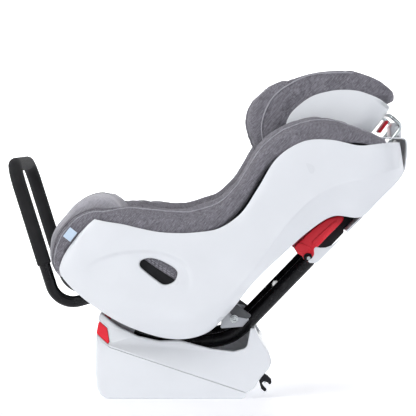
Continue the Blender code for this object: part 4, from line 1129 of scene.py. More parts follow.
# %% Headrest shell
rings = [u_ring(u, back, front, HEAD_HALF_WIDTH, HEAD_WALL, HEAD_WALL, 0.050)
         for u, back, front in smooth_rows(HEAD_SHELL, 5)]
head_shell = as_object("headrest_dome", sheet_over(rings, closed=True, capped=True))
eased(head_shell, 0.0014, 3, 50)
dress(head_shell, "headrest", "shell_white", headrest_white, "headrest_shell")
release = as_object("headrest_squeeze", block(head_point(0.034, -0.0145, 0.0), (0.032, 0.062, 0.007),
                                             0.0024, 4, math.degrees(HEAD_ANGLE)))
dress(release, "headrest_release", "red_plastic", red_plastic, "headrest_release")

# %% [markdown]
# ## Sewing and stuffing
#
# A cover is cut a little too large for its foam and held along its seams, so it swells between them and
# wrinkles a little. The same happens here: a piece starts slightly too small, its skin is cut two per
# cent too large, air pressure blows it up as cloth, and it is held wherever it lies on something or is
# sewn. How far any point may travel is limited. Seams and piping are laid on afterwards.
#
# The voxel remesh gives the even cells that cloth needs.

# %% Puffing up
PUFF_FRAMES = 20
UNDERSIZE = 0.0012                   # a piece starts this much too small on every side
CELL = 0.0055                        # size of the even cells


def even_cells(obj, cell):
    """Remesh a closed piece to even cells and shrink it a little; returns its points."""
    remesh = obj.modifiers.new("even_cells", "REMESH")
    remesh.mode = "VOXEL"
    remesh.voxel_size = cell
    settled(obj)
    bm = bmesh.new()
    bm.from_mesh(obj.data)
    for vert in bm.verts:
        vert.co -= vert.normal * UNDERSIZE
    bm.to_mesh(obj.data)
    bm.free()
    return [vert.co.copy() for vert in obj.data.vertices]


def puff(obj, limit, held, pressure=4.0, loose=0.03):
    """Blow a closed piece up as cloth; held(point) gives how firmly a point is kept, from 0 to 1."""
    start = even_cells(obj, CELL)
    group = obj.vertex_groups.new(name="held")
    for i, place in enumerate(start):
        group.add([i], held(place), "REPLACE")
    cloth = obj.modifiers.new("cloth", "CLOTH")
    settings = cloth.settings
    settings.quality = 4
    settings.vertex_group_mass = "held"
    settings.use_pressure = True
    settings.uniform_pressure_force = pressure
    settings.effector_weights.gravity = 0.0
    settings.shrink_min = -loose
    settings.bending_stiffness = 0.4
    cloth.collision_settings.use_collision = False
    cloth.point_cache.frame_end = PUFF_FRAMES
    for step in range(1, PUFF_FRAMES + 1):
        bpy.context.scene.frame_set(step)
    graph = bpy.context.evaluated_depsgraph_get()
    blown = obj.evaluated_get(graph).data
    places = [vert.co.copy() for vert in blown.vertices]
    obj.modifiers.clear()
    obj.vertex_groups.clear()
    for vert, here, there in zip(obj.data.vertices, start, places):
        shift = there - here
        if shift.length > limit:
            shift *= limit / shift.length
        vert.co = here + shift
    bpy.context.scene.frame_set(1)
    obj.data.shade_smooth()
    print(f"{obj.name}: blown up over {len(start)} points")
    return obj


print("covers can be stuffed")

# %% [markdown]
# ### Piping and thread
#
# Piping is a thin tube whose line is laid on the finished skin: each point goes to the nearest place on
# it. Stitches are short tubes with gaps between them, joined to one mesh.

# %% Piping and thread
def finer(obj):
    """One more subdivision for the final look."""
    smoother = obj.modifiers.new("finer", "SUBSURF")
    smoother.levels = 1
    smoother.render_levels = 1
    return obj


def skin_tree(obj):
    """A search tree over a piece's finished skin, its modifiers included."""
    return BVHTree.FromObject(obj, bpy.context.evaluated_depsgraph_get())


def laid_on(points, tree, lift, rounds=2):
    """A line of points moved onto a skin, lifted off it a little and smoothed."""
    result = []
    for point in points:
        place, normal, _, _ = tree.find_nearest(Vector(point))
        result.append(place + normal * lift)
    for _ in range(rounds):
        middle = [(a + 2 * b + c) / 4 for a, b, c in zip(result, result[1:], result[2:])]
        result = [result[0]] + middle + [result[-1]]
    return result


def stitched(name, line, body, radius, dash=0.0030):
    """A row of thread stitches along a line, two dashes long and one apart, in one mesh."""
    joined = bmesh.new()
    travelled, here = 0.0, [line[0]]
    pieces = []
    for a, b in zip(line, line[1:]):
        travelled += (b - a).length
        here.append(b)
        if travelled >= dash:
            pieces.append(here)
            travelled, here = 0.0, [b]
    for k, piece in enumerate(pieces):
        if k % 3 != 2 and len(piece) > 1:
            one = tube("stitch", piece, radius, 1)
            joined.from_mesh(one.data)
            bpy.data.objects.remove(one)
    return dress(as_object(name, joined), body, "fabric_light", piping_light)


print("sewing tools are ready")

# %% [markdown]
# ## The bolsters
#
# The bolsters are the padded side walls of the seat. Each is one long piece that runs from the front
# roll, along the top edge of the side shell, up to a point beside the headrest. Its section is set out
# square to the floor of the seat: it hooks over the shell's edge, rises to a crest and falls to the
# cushion. Stations along the seat give the crest, the shell's edge and the floor.

# %% Seat stations
BUCKET_EDGE = 0.196
PAD_HALF_WIDTH = 0.133
PAD_THICKNESS = 0.034
SEAT_STATIONS = (            # crest x, z, shell's top edge x, z, bucket floor x, z, how much narrower
    (-0.254, 0.270, -0.244, 0.276, -0.226, 0.281, 0.014),
    (-0.263, 0.312, -0.243, 0.309, -0.222, 0.312, 0.014),
    (-0.250, 0.360, -0.223, 0.341, -0.205, 0.337, 0.012),
    (-0.219, 0.397, -0.197, 0.373, -0.186, 0.358, 0.009),
    (-0.180, 0.415, -0.166, 0.394, -0.164, 0.368, 0.007),
    (-0.138, 0.4165, -0.128, 0.389, -0.138, 0.362, 0.002),
    (-0.093, 0.419, -0.081, 0.379, -0.105, 0.344, 0.000),
    (-0.048, 0.415, -0.037, 0.370, -0.056, 0.313, 0.000),
    (-0.004, 0.411, 0.007, 0.367, -0.006, 0.285, 0.000),
    (0.029, 0.410, 0.051, 0.369, 0.040, 0.263, 0.000),
    (0.062, 0.417, 0.098, 0.378, 0.085, 0.250, 0.000),
    (0.099, 0.431, 0.130, 0.398, 0.125, 0.254, 0.000),
    (0.133, 0.464, 0.162, 0.431, 0.158, 0.276, 0.000),
    (0.154, 0.496, 0.180, 0.463, 0.190, 0.308, 0.000),
    (0.187, 0.546, 0.221, 0.528, 0.245, 0.367, 0.000),
    (0.234, 0.585, 0.277, 0.564, 0.300, 0.428, 0.000),
    (0.294, 0.607, 0.336, 0.568, 0.350, 0.484, 0.000),
    (0.348, 0.607, 0.366, 0.560, 0.390, 0.529, 0.000),
    (0.407, 0.588, 0.405, 0.554, 0.420, 0.548, 0.000),
    (0.444, 0.571, 0.441, 0.557, 0.438, 0.552, 0.000),
    (0.463, 0.558, 0.460, 0.555, 0.456, 0.549, 0.010),
)
stations = smooth_rows(SEAT_STATIONS, 6)
print(len(stations), "stations along the seat")

# %% [markdown]
# ### The bolster's section
#
# Thirteen corners make the section, each given by the shell's edge, the crest and the pad at its station.
# The same corners, followed along the seat, later give the lines for seams and piping.

# %% Bolster sections
def section_frame(station):
    """Floor point, direction to the crest, crest height and shell-edge height of a station."""
    crest, rim, floor = Vector(station[0:2]), Vector(station[2:4]), Vector(station[4:6])
    up = (crest - floor).normalized()
    return floor, up, (crest - floor).length, max((rim - floor).dot(up), 0.004)


def bolster_section(station):
    """Corners of the bolster's section as y and height, and its frame."""
    floor, up, crest, rim = section_frame(station)
    edge = BUCKET_EDGE - station[6]
    pad, bulge = min(PAD_THICKNESS, 0.5 * crest), 0.10 * crest
    ring = [(PAD_HALF_WIDTH + 0.002, 0.04 * rim + 0.0015), (edge - 0.0296, 0.24 * rim + 0.002),
            (edge - 0.0116, 0.55 * rim + 0.002), (edge - 0.0016, rim * 0.90 + 0.002),
            (edge + 0.0055, rim * 0.92 - 0.001), (edge + 0.0112, rim - 0.002),
            (edge + 0.0085, rim + 0.6 * (crest - rim) + 0.002), (edge - 0.004, crest + 0.003),
            (edge - 0.020, crest + bulge), (edge - 0.036, crest + 0.8 * bulge),
            (PAD_HALF_WIDTH + 0.014, 0.78 * crest),
            (PAD_HALF_WIDTH + 0.006, 0.45 * crest + 0.2 * pad), (PAD_HALF_WIDTH + 0.002, pad)]
    return floor, up, ring


def bolster_rows(side):
    """The bolster's sections along the seat, as rows of points."""
    rows = []
    for station in stations[2:-1]:
        floor, up, ring = bolster_section(station)
        rows.append([(floor.x + up.x * r, side * y, floor.y + up.y * r) for y, r in smooth_loop(ring, 3)])
    return rows


def bolster_line(corner, side, first=2, last=-1):
    """The line that one corner of the section draws along the seat."""
    line = []
    for station in stations[first:last]:
        floor, up, ring = bolster_section(station)
        y, r = ring[corner]
        line.append(Vector((floor.x + up.x * r, side * y, floor.y + up.y * r)))
    return line


RIM_CORNER, FACE_CORNER, CREST_CORNER = 3, 6, 7
crest_spots = bolster_line(CREST_CORNER, -1)[::3]
lower_line = bolster_line(RIM_CORNER, -1)
print(len(crest_spots), "spots along the crest seam")

# %% [markdown]
# ### Stuffing and mirroring
#
# Only the left bolster is blown up. The right one is its mirror image, with its faces turned round again
# because a mirror turns them inside out.

# %% Bolsters
def bolster_held(place):
    """Firm at the crest seam and wherever the bolster lies on the shell or the bucket."""
    near = min((place - spot).length for spot in crest_spots)
    seam = 1 - ramp(near / 0.016)
    k = min(range(len(lower_line)), key=lambda i: (lower_line[i] - place).length)
    station = stations[k + 2]
    floor, up, _, rim = section_frame(station)
    height = (Vector((place.x, place.z)) - floor).dot(up)
    under = 1 - ramp((height - rim - 0.002) / 0.012) if -place.y > PAD_HALF_WIDTH + 0.03 else 0.0
    return max(seam * 0.9, under, 1.0 if -place.y < PAD_HALF_WIDTH + 0.004 else 0.0)


left_skin = sheet_over(bolster_rows(-1), closed=True, capped=True)
left_bolster = as_object("bolster_left_padding", left_skin)
puff(left_bolster, 0.006, bolster_held)
mirrored = bmesh.new()
mirrored.from_mesh(left_bolster.data)
bmesh.ops.scale(mirrored, vec=(1.0, -1.0, 1.0), verts=mirrored.verts)
bmesh.ops.reverse_faces(mirrored, faces=mirrored.faces)
right_bolster = as_object("bolster_right_padding", mirrored, 80)
for (side, label), piece in zip(SIDES, (left_bolster, right_bolster)):
    finer(piece)
    dress(piece, "seat", "fabric_grey", fabric_grey, f"bolster_{label}")

# %% [markdown]
# ### Piping on the bolsters
#
# A pale piping marks the seam along the crest. Towards the front it slides down the outer face, and there
# a second, darker seam closes the fold above it.

# %% Piping of the bolsters
def closer(line, steps=2):
    """The same line with more points on it."""
    return [Vector(point) for point in smooth_rows([tuple(point) for point in line], steps)]


for (side, label), piece in zip(SIDES, (left_bolster, right_bolster)):
    tree = skin_tree(piece)
    on_crest = bolster_line(CREST_CORNER, side, 4, -3)
    on_face = bolster_line(FACE_CORNER, side, 4, -3)
    thread = []
    for high, low in zip(on_crest, on_face):
        share = 0.62 * ramp((-0.105 - high.x) / 0.060)
        thread.append(high.lerp(low, share))
    piping = tube(f"crest_piping_{label}", laid_on(closer(thread), tree, 0.0003), 0.0013, 3)
    dress(piping, "seat", "fabric_light", piping_light)
    fold = [point for point in on_crest if point.x < -0.115]
    seam = tube(f"front_seam_{label}", laid_on(closer(fold), tree, 0.0), 0.0010, 2)
    dress(seam, "seat", "fabric_dark", fabric_dark)

# %% [markdown]
# ## The front roll
#
# The front of the cover is a paler cloth over a thick roll; its colour is set paler still as painted light
# and sheen on the roll's top. It starts as a slab of the roll's side outline, cut into eight strips across
# its width so that the flat faces have something to bend along.

# %% Front roll
FRONT_ROLL = (
    (-0.110, 0.404), (-0.133, 0.434), (-0.152, 0.442), (-0.170, 0.444), (-0.193, 0.438), (-0.217, 0.424),
    (-0.238, 0.400), (-0.258, 0.376), (-0.272, 0.346), (-0.276, 0.317), (-0.269, 0.288), (-0.251, 0.264),
    (-0.234, 0.268), (-0.230, 0.300), (-0.214, 0.340), (-0.193, 0.364), (-0.166, 0.3745), (-0.132, 0.3705),
)
ROLL_HALF_WIDTH = 0.1335
roll_outline = [(x, z, 0.010) for x, z in smooth_loop(FRONT_ROLL, 3)]
roll = slab(roll_outline, -ROLL_HALF_WIDTH, ROLL_HALF_WIDTH)
for place_y in (-0.10, -0.066, -0.033, 0.0, 0.033, 0.066, 0.10):
    bmesh.ops.bisect_plane(roll, geom=roll.verts[:] + roll.edges[:] + roll.faces[:],
                           plane_co=(0, place_y, 0), plane_no=(0, 1, 0))
front_roll = as_object("front_roll_padding", roll)


def roll_held(place):
    """Firm at the ends, and on the underside that lies on the bucket."""
    ends = ramp((abs(place.y) - ROLL_HALF_WIDTH + 0.012) / 0.010)
    depth = min(math.hypot(place.x - x, place.z - z) for x, z in FRONT_ROLL[12:])
    return max(ends, 1 - ramp(depth / 0.018))


puff(front_roll, 0.005, roll_held)
finer(front_roll)
# The roll's pale finish also carries painted light and sheen on its top.
dress(front_roll, "seat", "fabric_light", fabric_light, "front_roll")

# %% [markdown]
# ## Seat cushion and back cushion
#
# Behind the roll lie the seat cushion and, past the fold, the back cushion, in a darker cloth with a few
# sewn channels across it. Both follow the floor of the seat. While a cushion is blown up its channels are
# held down, and a thin dark seam is laid into each one afterwards.

# %% Seat and back cushions
def cushion_rows(first, last):
    """A cushion's sections at some stations, flat below and lower at both sides."""
    half = PAD_HALF_WIDTH
    thick = PAD_THICKNESS - UNDERSIZE
    ring = [(0.015 - half + (2 * half - 0.030) * k / 14, 0.001) for k in range(15)]
    ring += [(half, 0.006), (half, thick * 0.7)]
    ring += [(half - 0.008 - (2 * half - 0.016) * k / 14, thick) for k in range(15)]
    ring += [(-half, thick * 0.7), (-half, 0.006)]
    rows = []
    for i in range(first, last + 1):
        floor, up, _, _ = section_frame(stations[i])
        rows.append([(floor.x + up.x * r, y, floor.y + up.y * r) for y, r in ring])
    return rows


def cushion(name, node, first, last, channels):
    """A cushion with sewn channels across it at some stations."""
    piece = as_object(name, sheet_over(cushion_rows(first, last), closed=True, capped=True))
    seams = []
    for k in channels:
        floor, up, _, _ = section_frame(stations[k])
        seams.append((floor.x + up.x * PAD_THICKNESS, floor.y + up.y * PAD_THICKNESS, up))

    def held(place):
        """Firm underneath, at both sides and in the channels."""
        k = min(range(first, last + 1),
                key=lambda i: (place.x - stations[i][4]) ** 2 + (place.z - stations[i][5]) ** 2)
        floor, up, _, _ = section_frame(stations[k])
        height = (Vector((place.x, place.z)) - floor).dot(up)
        low = 1 - ramp((height - 0.012) / 0.010)
        sides = ramp((abs(place.y) - PAD_HALF_WIDTH + 0.006) / 0.005)
        sewn = max((1 - ramp(math.hypot(place.x - x, place.z - z) / 0.010) for x, z, _ in seams), default=0)
        return max(low, sides, sewn)

    puff(piece, 0.0035, held, 5.0)
    finer(piece)
    dress(piece, "seat", "fabric_dark", fabric_dark, node)
    tree = skin_tree(piece)
    for number, (x, z, up) in enumerate(seams):
        reach = PAD_HALF_WIDTH - 0.012
        line = [Vector((x + up.x * 0.004, reach * (k / 40 - 1), z + up.y * 0.004)) for k in range(81)]
        groove = tube(f"{name}_seam_{number}", laid_on(line, tree, 0.0), 0.0009, 2)
        dress(groove, "seat", "fabric_dark", fabric_dark)


cushion("seat_cushion_padding", "seat_cushion", 36, 63, (43, 50, 57))
cushion("back_cushion_padding", "back_cushion", 69, 99, (77, 85, 93))

# %% [markdown]
# ## The headrest pad
#
# The pad fills the headrest shell and swells out beyond its front edges as two wings. It is made of the
# same U-shaped rings as the shell, with much thicker walls.

# %% Headrest pad
pad_half = HEAD_HALF_WIDTH - HEAD_WALL - 0.0006
rings = [u_ring(u, back, front, pad_half, 0.030, 0.034, 0.048, 8)
         for u, back, front in smooth_rows(HEAD_PAD, 3)]
head_pad = as_object("headrest_padding", sheet_over(rings, closed=True, capped=True))


def head_held(place):
    """Firm where the pad lies in the shell, and loose at the wings and the inner face."""
    dx, dz = place.x - HEAD_ORIGIN[0], place.z - HEAD_ORIGIN[1]
    u = dx * math.cos(HEAD_ANGLE) + dz * math.sin(HEAD_ANGLE)
    w = -dx * math.sin(HEAD_ANGLE) + dz * math.cos(HEAD_ANGLE)
    rows = [row for row in HEAD_SHELL if row[0] <= u] or [HEAD_SHELL[0]]
    front = rows[-1][2] if u <= HEAD_SHELL[-1][0] else -1.0
    outer = abs(place.y) > pad_half - 0.004 or w < 0.03
    return 1 - ramp((w - front) / 0.012) if outer else 0.15


puff(head_pad, 0.006, head_held)
finer(head_pad)
dress(head_pad, "headrest", "fabric_grey", fabric_grey, "headrest_pad")

# %% [markdown]
# ### Piping on the headrest
#
# One line of piping runs up the near wing close to its outer edge, over the top and down the far wing.
# Half of it is written down, and the other half is its mirror image.

# %% Headrest piping
PIPING = ((-0.153, 0.188), (-0.136, 0.205), (-0.112, 0.218), (-0.079, 0.226), (-0.052, 0.225),
          (-0.022, 0.216), (0.0035, 0.205), (0.028, 0.187), (0.050, 0.164), (0.069, 0.140), (0.084, 0.117))
tree = skin_tree(head_pad)
near_wing = [head_point(u, w, -(pad_half + 0.004)) for u, w in smooth_rows(PIPING, 4)]
over = [head_point(0.093, 0.107, -pad_half + 0.012), head_point(0.102, 0.080, -pad_half + 0.030)]
for k in range(1, 12):
    over.append(head_point(0.107, 0.050, -pad_half + 0.030 + (2 * pad_half - 0.060) * k / 12))
piping_line = near_wing + over + [Vector((p.x, -p.y, p.z)) for p in (near_wing + over[:2])[::-1]]
piping = tube("headrest_piping", laid_on(piping_line, tree, 0.0007), 0.0017, 3)
dress(piping, "headrest", "fabric_light", piping_light)

# %% [markdown]
# ## The harness
#
# Five straps meet at the buckle. Webbing is flat, about two and a half millimetres thick, and follows
# whatever it lies on, so each strap is a ribbon along a line, with its two edges slightly rounded. The
# lines are those of a bare seat, lifted by the thickness of the cushions.

# %% Ribbons
PAD_FOLD, PAD_FOLD_LENGTH = 0.100, 0.120


def on_pads(points):
    """Harness points given for a bare bucket, lifted square off it by the thickness of the pads."""
    lifted = []
    for x, y, z in points:
        lean = math.radians(45) * min(max((x - PAD_FOLD) / PAD_FOLD_LENGTH, 0.0), 1.0)
        lifted.append((x - math.sin(lean) * PAD_THICKNESS, y, z + math.cos(lean) * PAD_THICKNESS))
    return lifted


def ribbon(name, points, width, thickness, slot, finish, node, across=(0.0, 1.0, 0.0), crown=0.0):
    """A flat strap on the seat along a smooth path; crown makes its middle thicker than its edges."""
    path = [Vector(p) for p in smooth_rows(points, 6)]
    across = Vector(across)
    shares = [2 * k / 12 - 1 for k in range(13)]
    half_section = [(share, thickness / 2 * max(1 - share ** 6, 0.0) ** 0.5) for share in shares]
    rows = []
    for i, here in enumerate(path):
        run = (path[min(i + 1, len(path) - 1)] - path[max(i - 1, 0)]).normalized()
        wide = (across - run * across.dot(run)).normalized()
        thick = run.cross(wide).normalized()
        loop = [(share, edge + crown * (1 - share ** 2)) for share, edge in half_section]
        loop += [(share, -edge) for share, edge in half_section[-2:0:-1]]
        rows.append([here + wide * (width / 2 * share) + thick * height for share, height in loop])
    piece = as_object(name, sheet_over(rows, closed=True, capped=True), 60)
    return dress(piece, "seat", slot, finish, node)


print("ribbons are ready")

# %% [markdown]
# ### Shoulder, lap and crotch straps
#
# The two shoulder straps carry soft pads and come together at the buckle. The lap straps come in from
# both sides and twist on the way, so their ribbons lie across another direction.

# %% Straps
WEBBING_WIDTH, WEBBING_THICKNESS = 0.038, 0.0024
for side, label in SIDES:
    shoulder = ((0.2840, side * 0.062, 0.4095), (0.2560, side * 0.062, 0.3795),
                (0.2129, side * 0.056, 0.3369), (0.1638, side * 0.046, 0.3119),
                (0.1154, side * 0.034, 0.3152), (0.0735, side * 0.024, 0.3350))
    ribbon(f"shoulder_webbing_{label}", on_pads(shoulder), WEBBING_WIDTH, WEBBING_THICKNESS,
           "webbing", webbing, f"shoulder_strap_{label}")
    pad = ((0.2770, side * 0.062, 0.4160), (0.2500, side * 0.061, 0.3885), (0.2069, side * 0.056, 0.3465))
    soft = ribbon(f"shoulder_padding_{label}", on_pads(pad), 0.058, 0.0105,
                  "fabric_dark", fabric_dark, f"shoulder_pad_{label}", crown=0.0012)
    lap = [(x, side * (0.050 + 0.074 * share), z) for x, z, share in (
        (0.1206, 0.2638, 1.0), (0.1051, 0.2710, 0.716), (0.0900, 0.2940, 0.270), (0.0800, 0.3110, 0.0))]
    ribbon(f"lap_webbing_{label}", on_pads(lap), 0.8 * WEBBING_WIDTH, WEBBING_THICKNESS,
           "webbing", webbing, f"lap_strap_{label}", (1.0, 0.0, 0.35))
crotch = ((0.0040, 0.0, 0.2850), (0.0010, 0.0, 0.2890), (-0.0010, 0.0, 0.2950))
ribbon("crotch_webbing", on_pads(crotch), WEBBING_WIDTH, WEBBING_THICKNESS, "webbing", webbing,
       "crotch_strap")

# %% [markdown]
# ### The adjuster strap
#
# The tail of the harness comes out over the front roll. Pulling it tightens the shoulder straps. It lies
# on the roll, so its line is laid on the finished skin.

# %% Adjuster strap
tail = [(-0.1035, 0.4040), (-0.130, 0.4370), (-0.152, 0.4460), (-0.172, 0.4480), (-0.196, 0.4420),
        (-0.222, 0.4260), (-0.246, 0.4040), (-0.269, 0.3820), (-0.2850, 0.3500), (-0.2900, 0.3170),
        (-0.2890, 0.2950)]
tree = skin_tree(front_roll)
tail_line = laid_on([Vector((x, 0.0, z)) for x, z in smooth_rows(tail, 3)], tree, 0.0006)
ribbon("adjuster_webbing", [tuple(p) for p in tail_line], 0.025, 0.0014, "webbing", webbing,
       "adjuster_strap")

# %% [markdown]
# ### Harness hardware
#
# The buckle, the chest clip and the adjuster are black mouldings, with red buttons that are pressed to
# let go. The tongues are steel. All of them are softened copies of the mechanical parts.

# %% Harness hardware
for name, width in (("harness_buckle", 0.0012), ("adjuster_housing", 0.0012), ("chest_clip", 0.0008)):
    dress(softened(name, width), "seat", "inner_plastic", inner_plastic, name)
for name in ("buckle_button", "adjuster_button"):
    dress(softened(name, 0.0006), name, "red_plastic", red_plastic, name)
for side, label in SIDES:
    dress(softened(f"harness_tongue_{label}", 0.0006), "seat", "steel", steel, f"harness_tongue_{label}")

# %% [markdown]
# ## Belt path
#
# Where the vehicle belt passes behind the seat, a red lever on each side locks it. The lever is a thick
# slab with a hole for its pin. A rib and a hook stand on its outer face, and a black washer goes round
# the pin.

# %% Lock-off levers
PIVOT = (0.293, 0.309)
PIN_HOLE = 0.0045
LEVER_Y = 0.112
ARM = (
    (0.2615, 0.3310), (0.2705, 0.3415), (0.2800, 0.3480), (0.2860, 0.3550), (0.3091, 0.3760),
    (0.3367, 0.3940), (0.3600, 0.4000), (0.3750, 0.3990), (0.3680, 0.3860), (0.3367, 0.3544),
    (0.3133, 0.3300), (0.3075, 0.3220), (0.3055, 0.3080), (0.3000, 0.3000), (0.2920, 0.2985),
    (0.2850, 0.3030), (0.2810, 0.3110), (0.2700, 0.3170),
)
RIDGE = ((0.3010, 0.3350), (0.3100, 0.3360), (0.3280, 0.3530), (0.3560, 0.3830), (0.3580, 0.3900),
         (0.3480, 0.3860), (0.3240, 0.3640), (0.3030, 0.3440))
CROSS = ((0.2630, 0.3305), (0.2720, 0.3185), (0.2960, 0.3215), (0.3030, 0.3290), (0.2960, 0.3330),
         (0.2800, 0.3400), (0.2705, 0.3400))
for side, label in SIDES:
    body = f"lockoff_{label}"
    y_low, y_high = between_planes(side, LEVER_Y - 0.013, LEVER_Y + 0.013)
    arm = as_object(f"lockoff_arm_{label}", slab(cornered(ARM, 0.006, 0.003), y_low, y_high))
    cut(arm, disc((PIVOT[0], side * LEVER_Y, PIVOT[1]), PIN_HOLE, 0.06))
    dress(arm, body, "red_plastic", red_plastic, f"lockoff_lever_{label}")
    y_low, y_high = between_planes(side, LEVER_Y + 0.010, LEVER_Y + 0.0155)
    for name, outline in (("rib", RIDGE), ("hook", CROSS)):
        rib = as_object(f"lockoff_{name}_{label}", slab(cornered(outline, 0.003, 0.0014), y_low, y_high))
        dress(rib, body, "red_plastic", red_plastic)
    ring = disc((PIVOT[0], side * (LEVER_Y + 0.0138), PIVOT[1]), 0.0095, 0.0036, edge=0.0008)
    washer = as_object(f"lockoff_washer_{label}", ring)
    cut(washer, disc((PIVOT[0], side * LEVER_Y, PIVOT[1]), PIN_HOLE, 0.06))
    dress(washer, body, "inner_plastic", inner_plastic)

# %% [markdown]
# ### Belt path liners
#
# A thin black liner on each side keeps the belt away from the seat's inside. It also closes the view
# between the side shell and the back.

# %% Belt path liners
LINER = ((0.2960, 0.3100), (0.3080, 0.3020), (0.3180, 0.3035), (0.3745, 0.3620), (0.3735, 0.3700),
         (0.4075, 0.4037), (0.4290, 0.4260), (0.4150, 0.4500), (0.3700, 0.4300), (0.3200, 0.3700))
for side, label in SIDES:
    y_low, y_high = between_planes(side, 0.0925, 0.0950)
    liner = as_object(f"belt_path_liner_{label}", slab(cornered(LINER, 0.004, 0.0006), y_low, y_high))
    dress(liner, "seat", "inner_plastic", inner_plastic)

# %% [markdown]
# ### Guards, brackets and bolts
#
# Outside each tube stands an aluminium bracket with a grey plastic guard over its upper edge. One bright
# bolt holds them, with a round spacer under its six-sided head and a six-sided socket in it.

# %% Guards, brackets and bolts
GUARD = ((0.135, 0.204), (0.172, 0.177), (0.160, 0.1705), (0.127, 0.1765), (0.121, 0.186))
BOLT_X, BOLT_Z = 0.131, 0.170
BRACKET = ((0.100, 0.148), (0.150, 0.152), (0.164, 0.168), (0.158, 0.182), (0.128, 0.188), (0.104, 0.172))
for side, label in SIDES:
    y_low, y_high = between_planes(side, 0.0914, 0.0954)
    plate = as_object(f"bracket_plate_{label}", slab(cornered(BRACKET, 0.004, 0.0006), y_low, y_high))
    dress(plate, "seat", "aluminium", aluminium, f"frame_bracket_{label}")
    y_low, y_high = between_planes(side, 0.0974, 0.1034)
    guard = as_object(f"guard_moulding_{label}", slab(cornered(GUARD, 0.005, 0.0018), y_low, y_high))
    dress(guard, "seat", "grey_plastic", grey_plastic, f"frame_guard_{label}")
    spacer = as_object(f"bolt_spacer_{label}",
                       disc((BOLT_X, side * 0.09965, BOLT_Z), 0.0095, 0.0083, 32, 0.0006))
    dress(spacer, "seat", "steel", steel)
    head = as_object(f"bolt_head_{label}", disc((BOLT_X, side * 0.1069, BOLT_Z), 0.008, 0.006, 6, 0.0008))
    cut(head, disc((BOLT_X, side * 0.110, BOLT_Z), 0.0032, 0.006, 6))
    dress(head, "seat", "steel", steel, f"bracket_bolt_{label}")

# %% [markdown]
# ### Lower anchors
#
# Two black hooks slide out at the rear of the base and catch the anchors of the vehicle. Beside each one
# a steel jaw closes the hook's mouth.

# %% Lower anchors
LATCH_ARM = ((0.120, 0.042), (0.184, 0.042), (0.187, 0.031), (0.190, 0.020), (0.198, 0.013), (0.203, 0.018),
             (0.196, 0.025), (0.191, 0.032), (0.196, 0.037), (0.204, 0.034), (0.209, 0.028), (0.213, 0.034),
             (0.212, 0.041), (0.204, 0.049), (0.196, 0.054), (0.186, 0.054), (0.180, 0.052), (0.120, 0.052))
LATCH_JAW = ((0.195, 0.049), (0.204, 0.050), (0.2065, 0.043), (0.200, 0.030), (0.195, 0.0305), (0.197, 0.041))
for side, label in SIDES:
    y_low, y_high = between_planes(side, LATCH_Y - 0.006, LATCH_Y + 0.006)
    hook = as_object(f"latch_hook_{label}", slab(cornered(LATCH_ARM, 0.003, 0.0014), y_low, y_high))
    dress(hook, f"latch_{label}", "inner_plastic", inner_plastic, f"latch_arm_{label}")
    y_low, y_high = between_planes(side, LATCH_Y - 0.0064, LATCH_Y - 0.0089)
    jaw = as_object(f"latch_pawl_{label}", slab(cornered(LATCH_JAW, 0.002, 0.0005), y_low, y_high))
    dress(jaw, f"latch_jaw_{label}", "steel", steel, f"latch_jaw_{label}")

# %% [markdown]
# ## Inside the hand-holds
#
# Behind each hand-hold is a shallow black pocket: four rings, each the outline grown by a little, with a
# floor in the last one.

# %% Pockets
POCKET_RINGS = ((0.0035, 0.2050), (0.0070, 0.2000), (0.0075, 0.1940), (0.0050, 0.1922))   # wider, y


def hold_pocket(side, label):
    """The black pocket behind one hand-hold."""
    pocket_rows = [[(x, side * y, z) for x, z in grown(hand_hold, wider)]
                   for wider, y in POCKET_RINGS]
    bm = sheet_over(pocket_rows, closed=True)
    floor_edges = [edge for edge in bm.edges if edge.is_boundary and abs(edge.verts[0].co.y) < 0.193]
    bmesh.ops.holes_fill(bm, edges=floor_edges)
    bmesh.ops.recalc_face_normals(bm, faces=bm.faces)
    pocket = as_object(f"hand_hold_pocket_{label}", bm)
    pocket_wall = pocket.modifiers.new("wall", "SOLIDIFY")
    pocket_wall.thickness = 0.0012
    dress(pocket, "seat", "inner_plastic", inner_plastic)


print("pockets have", len(POCKET_RINGS), "rings")

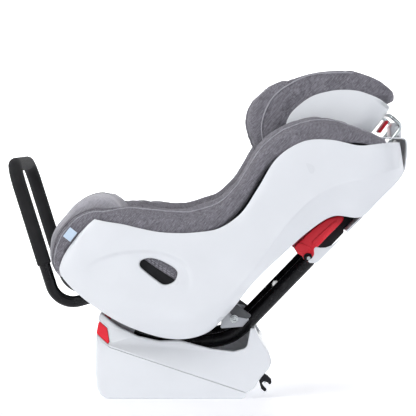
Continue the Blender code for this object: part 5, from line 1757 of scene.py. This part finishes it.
# %% [markdown]
# ### Skirts of the cover
#
# The edge of the seat cover shows in each pocket: grey cloth, pulled down over the bucket, that ends on a
# slant in a double row of stitches. It is a short rippled sheet with a Solidify for its thickness.

# %% Skirts
def hem_height(x):
    """Height of the skirt's slanting hem."""
    return 0.337 - 0.68 * (x + 0.105)


def cover_skirt(side, label):
    """The hem of the cover in one pocket, with its two rows of stitches."""
    rows = []
    for k in range(25):
        x = -0.081 + 0.094 * k / 24
        hem = hem_height(x)
        top = max(min(0.3205, 0.3205 - 0.62 * (x + 0.045)), hem + 0.001)
        rows.append([(x, side * (0.1985 + 0.0010 * math.sin(0.8 * j + 0.35 * k)), top + (hem - top) * j / 12)
                     for j in range(13)])
    bm = sheet_over(rows)
    if sum(face.normal.y * side for face in bm.faces) < 0:
        bmesh.ops.reverse_faces(bm, faces=bm.faces)
    skirt = as_object(f"cover_skirt_{label}", bm)
    cloth = skirt.modifiers.new("cloth", "SOLIDIFY")
    cloth.thickness = 0.0014
    cloth.offset = -1.0
    dress(skirt, "seat", "fabric_grey", fabric_grey)
    for number, lift in ((1, 0.0050), (2, 0.0100)):
        line = [Vector((x, side * 0.2002, hem_height(x) + lift))
                for x in (-0.074 + 0.084 * k / 90 for k in range(91))]
        stitched(f"skirt_stitches_{label}_{number}", line, "seat", 0.0009)


for side, label in SIDES:
    hold_pocket(side, label)
    cover_skirt(side, label)

# %% [markdown]
# ## The sewn label
#
# A small label is sewn in at the front of the left bolster. It is plain: a thin block with round edges,
# turned to follow the seam.

# %% Label
tag = block((-0.2240, -0.2105, 0.3640), (0.020, 0.0010, 0.025), 0.0003, 2, tilt=-38)
dress(as_object("sewn_label", tag), "seat", "shell_white", tag_white, "fabric_tag")

# %% [markdown]
# ## Everything that is left
#
# The inner parts, such as the bucket, the racks and the sockets, are shown as they were built. They only
# get the finish of their material.

# %% Finishes of the inner parts
shown = [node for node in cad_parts.values() if not node.hide_render]
for node in shown:
    slot_name = node.data.materials[0].name.split(".")[0]
    node.data.materials[0] = FINISHES[slot_name]
print("as built:", ", ".join(sorted(node.name for node in shown)))
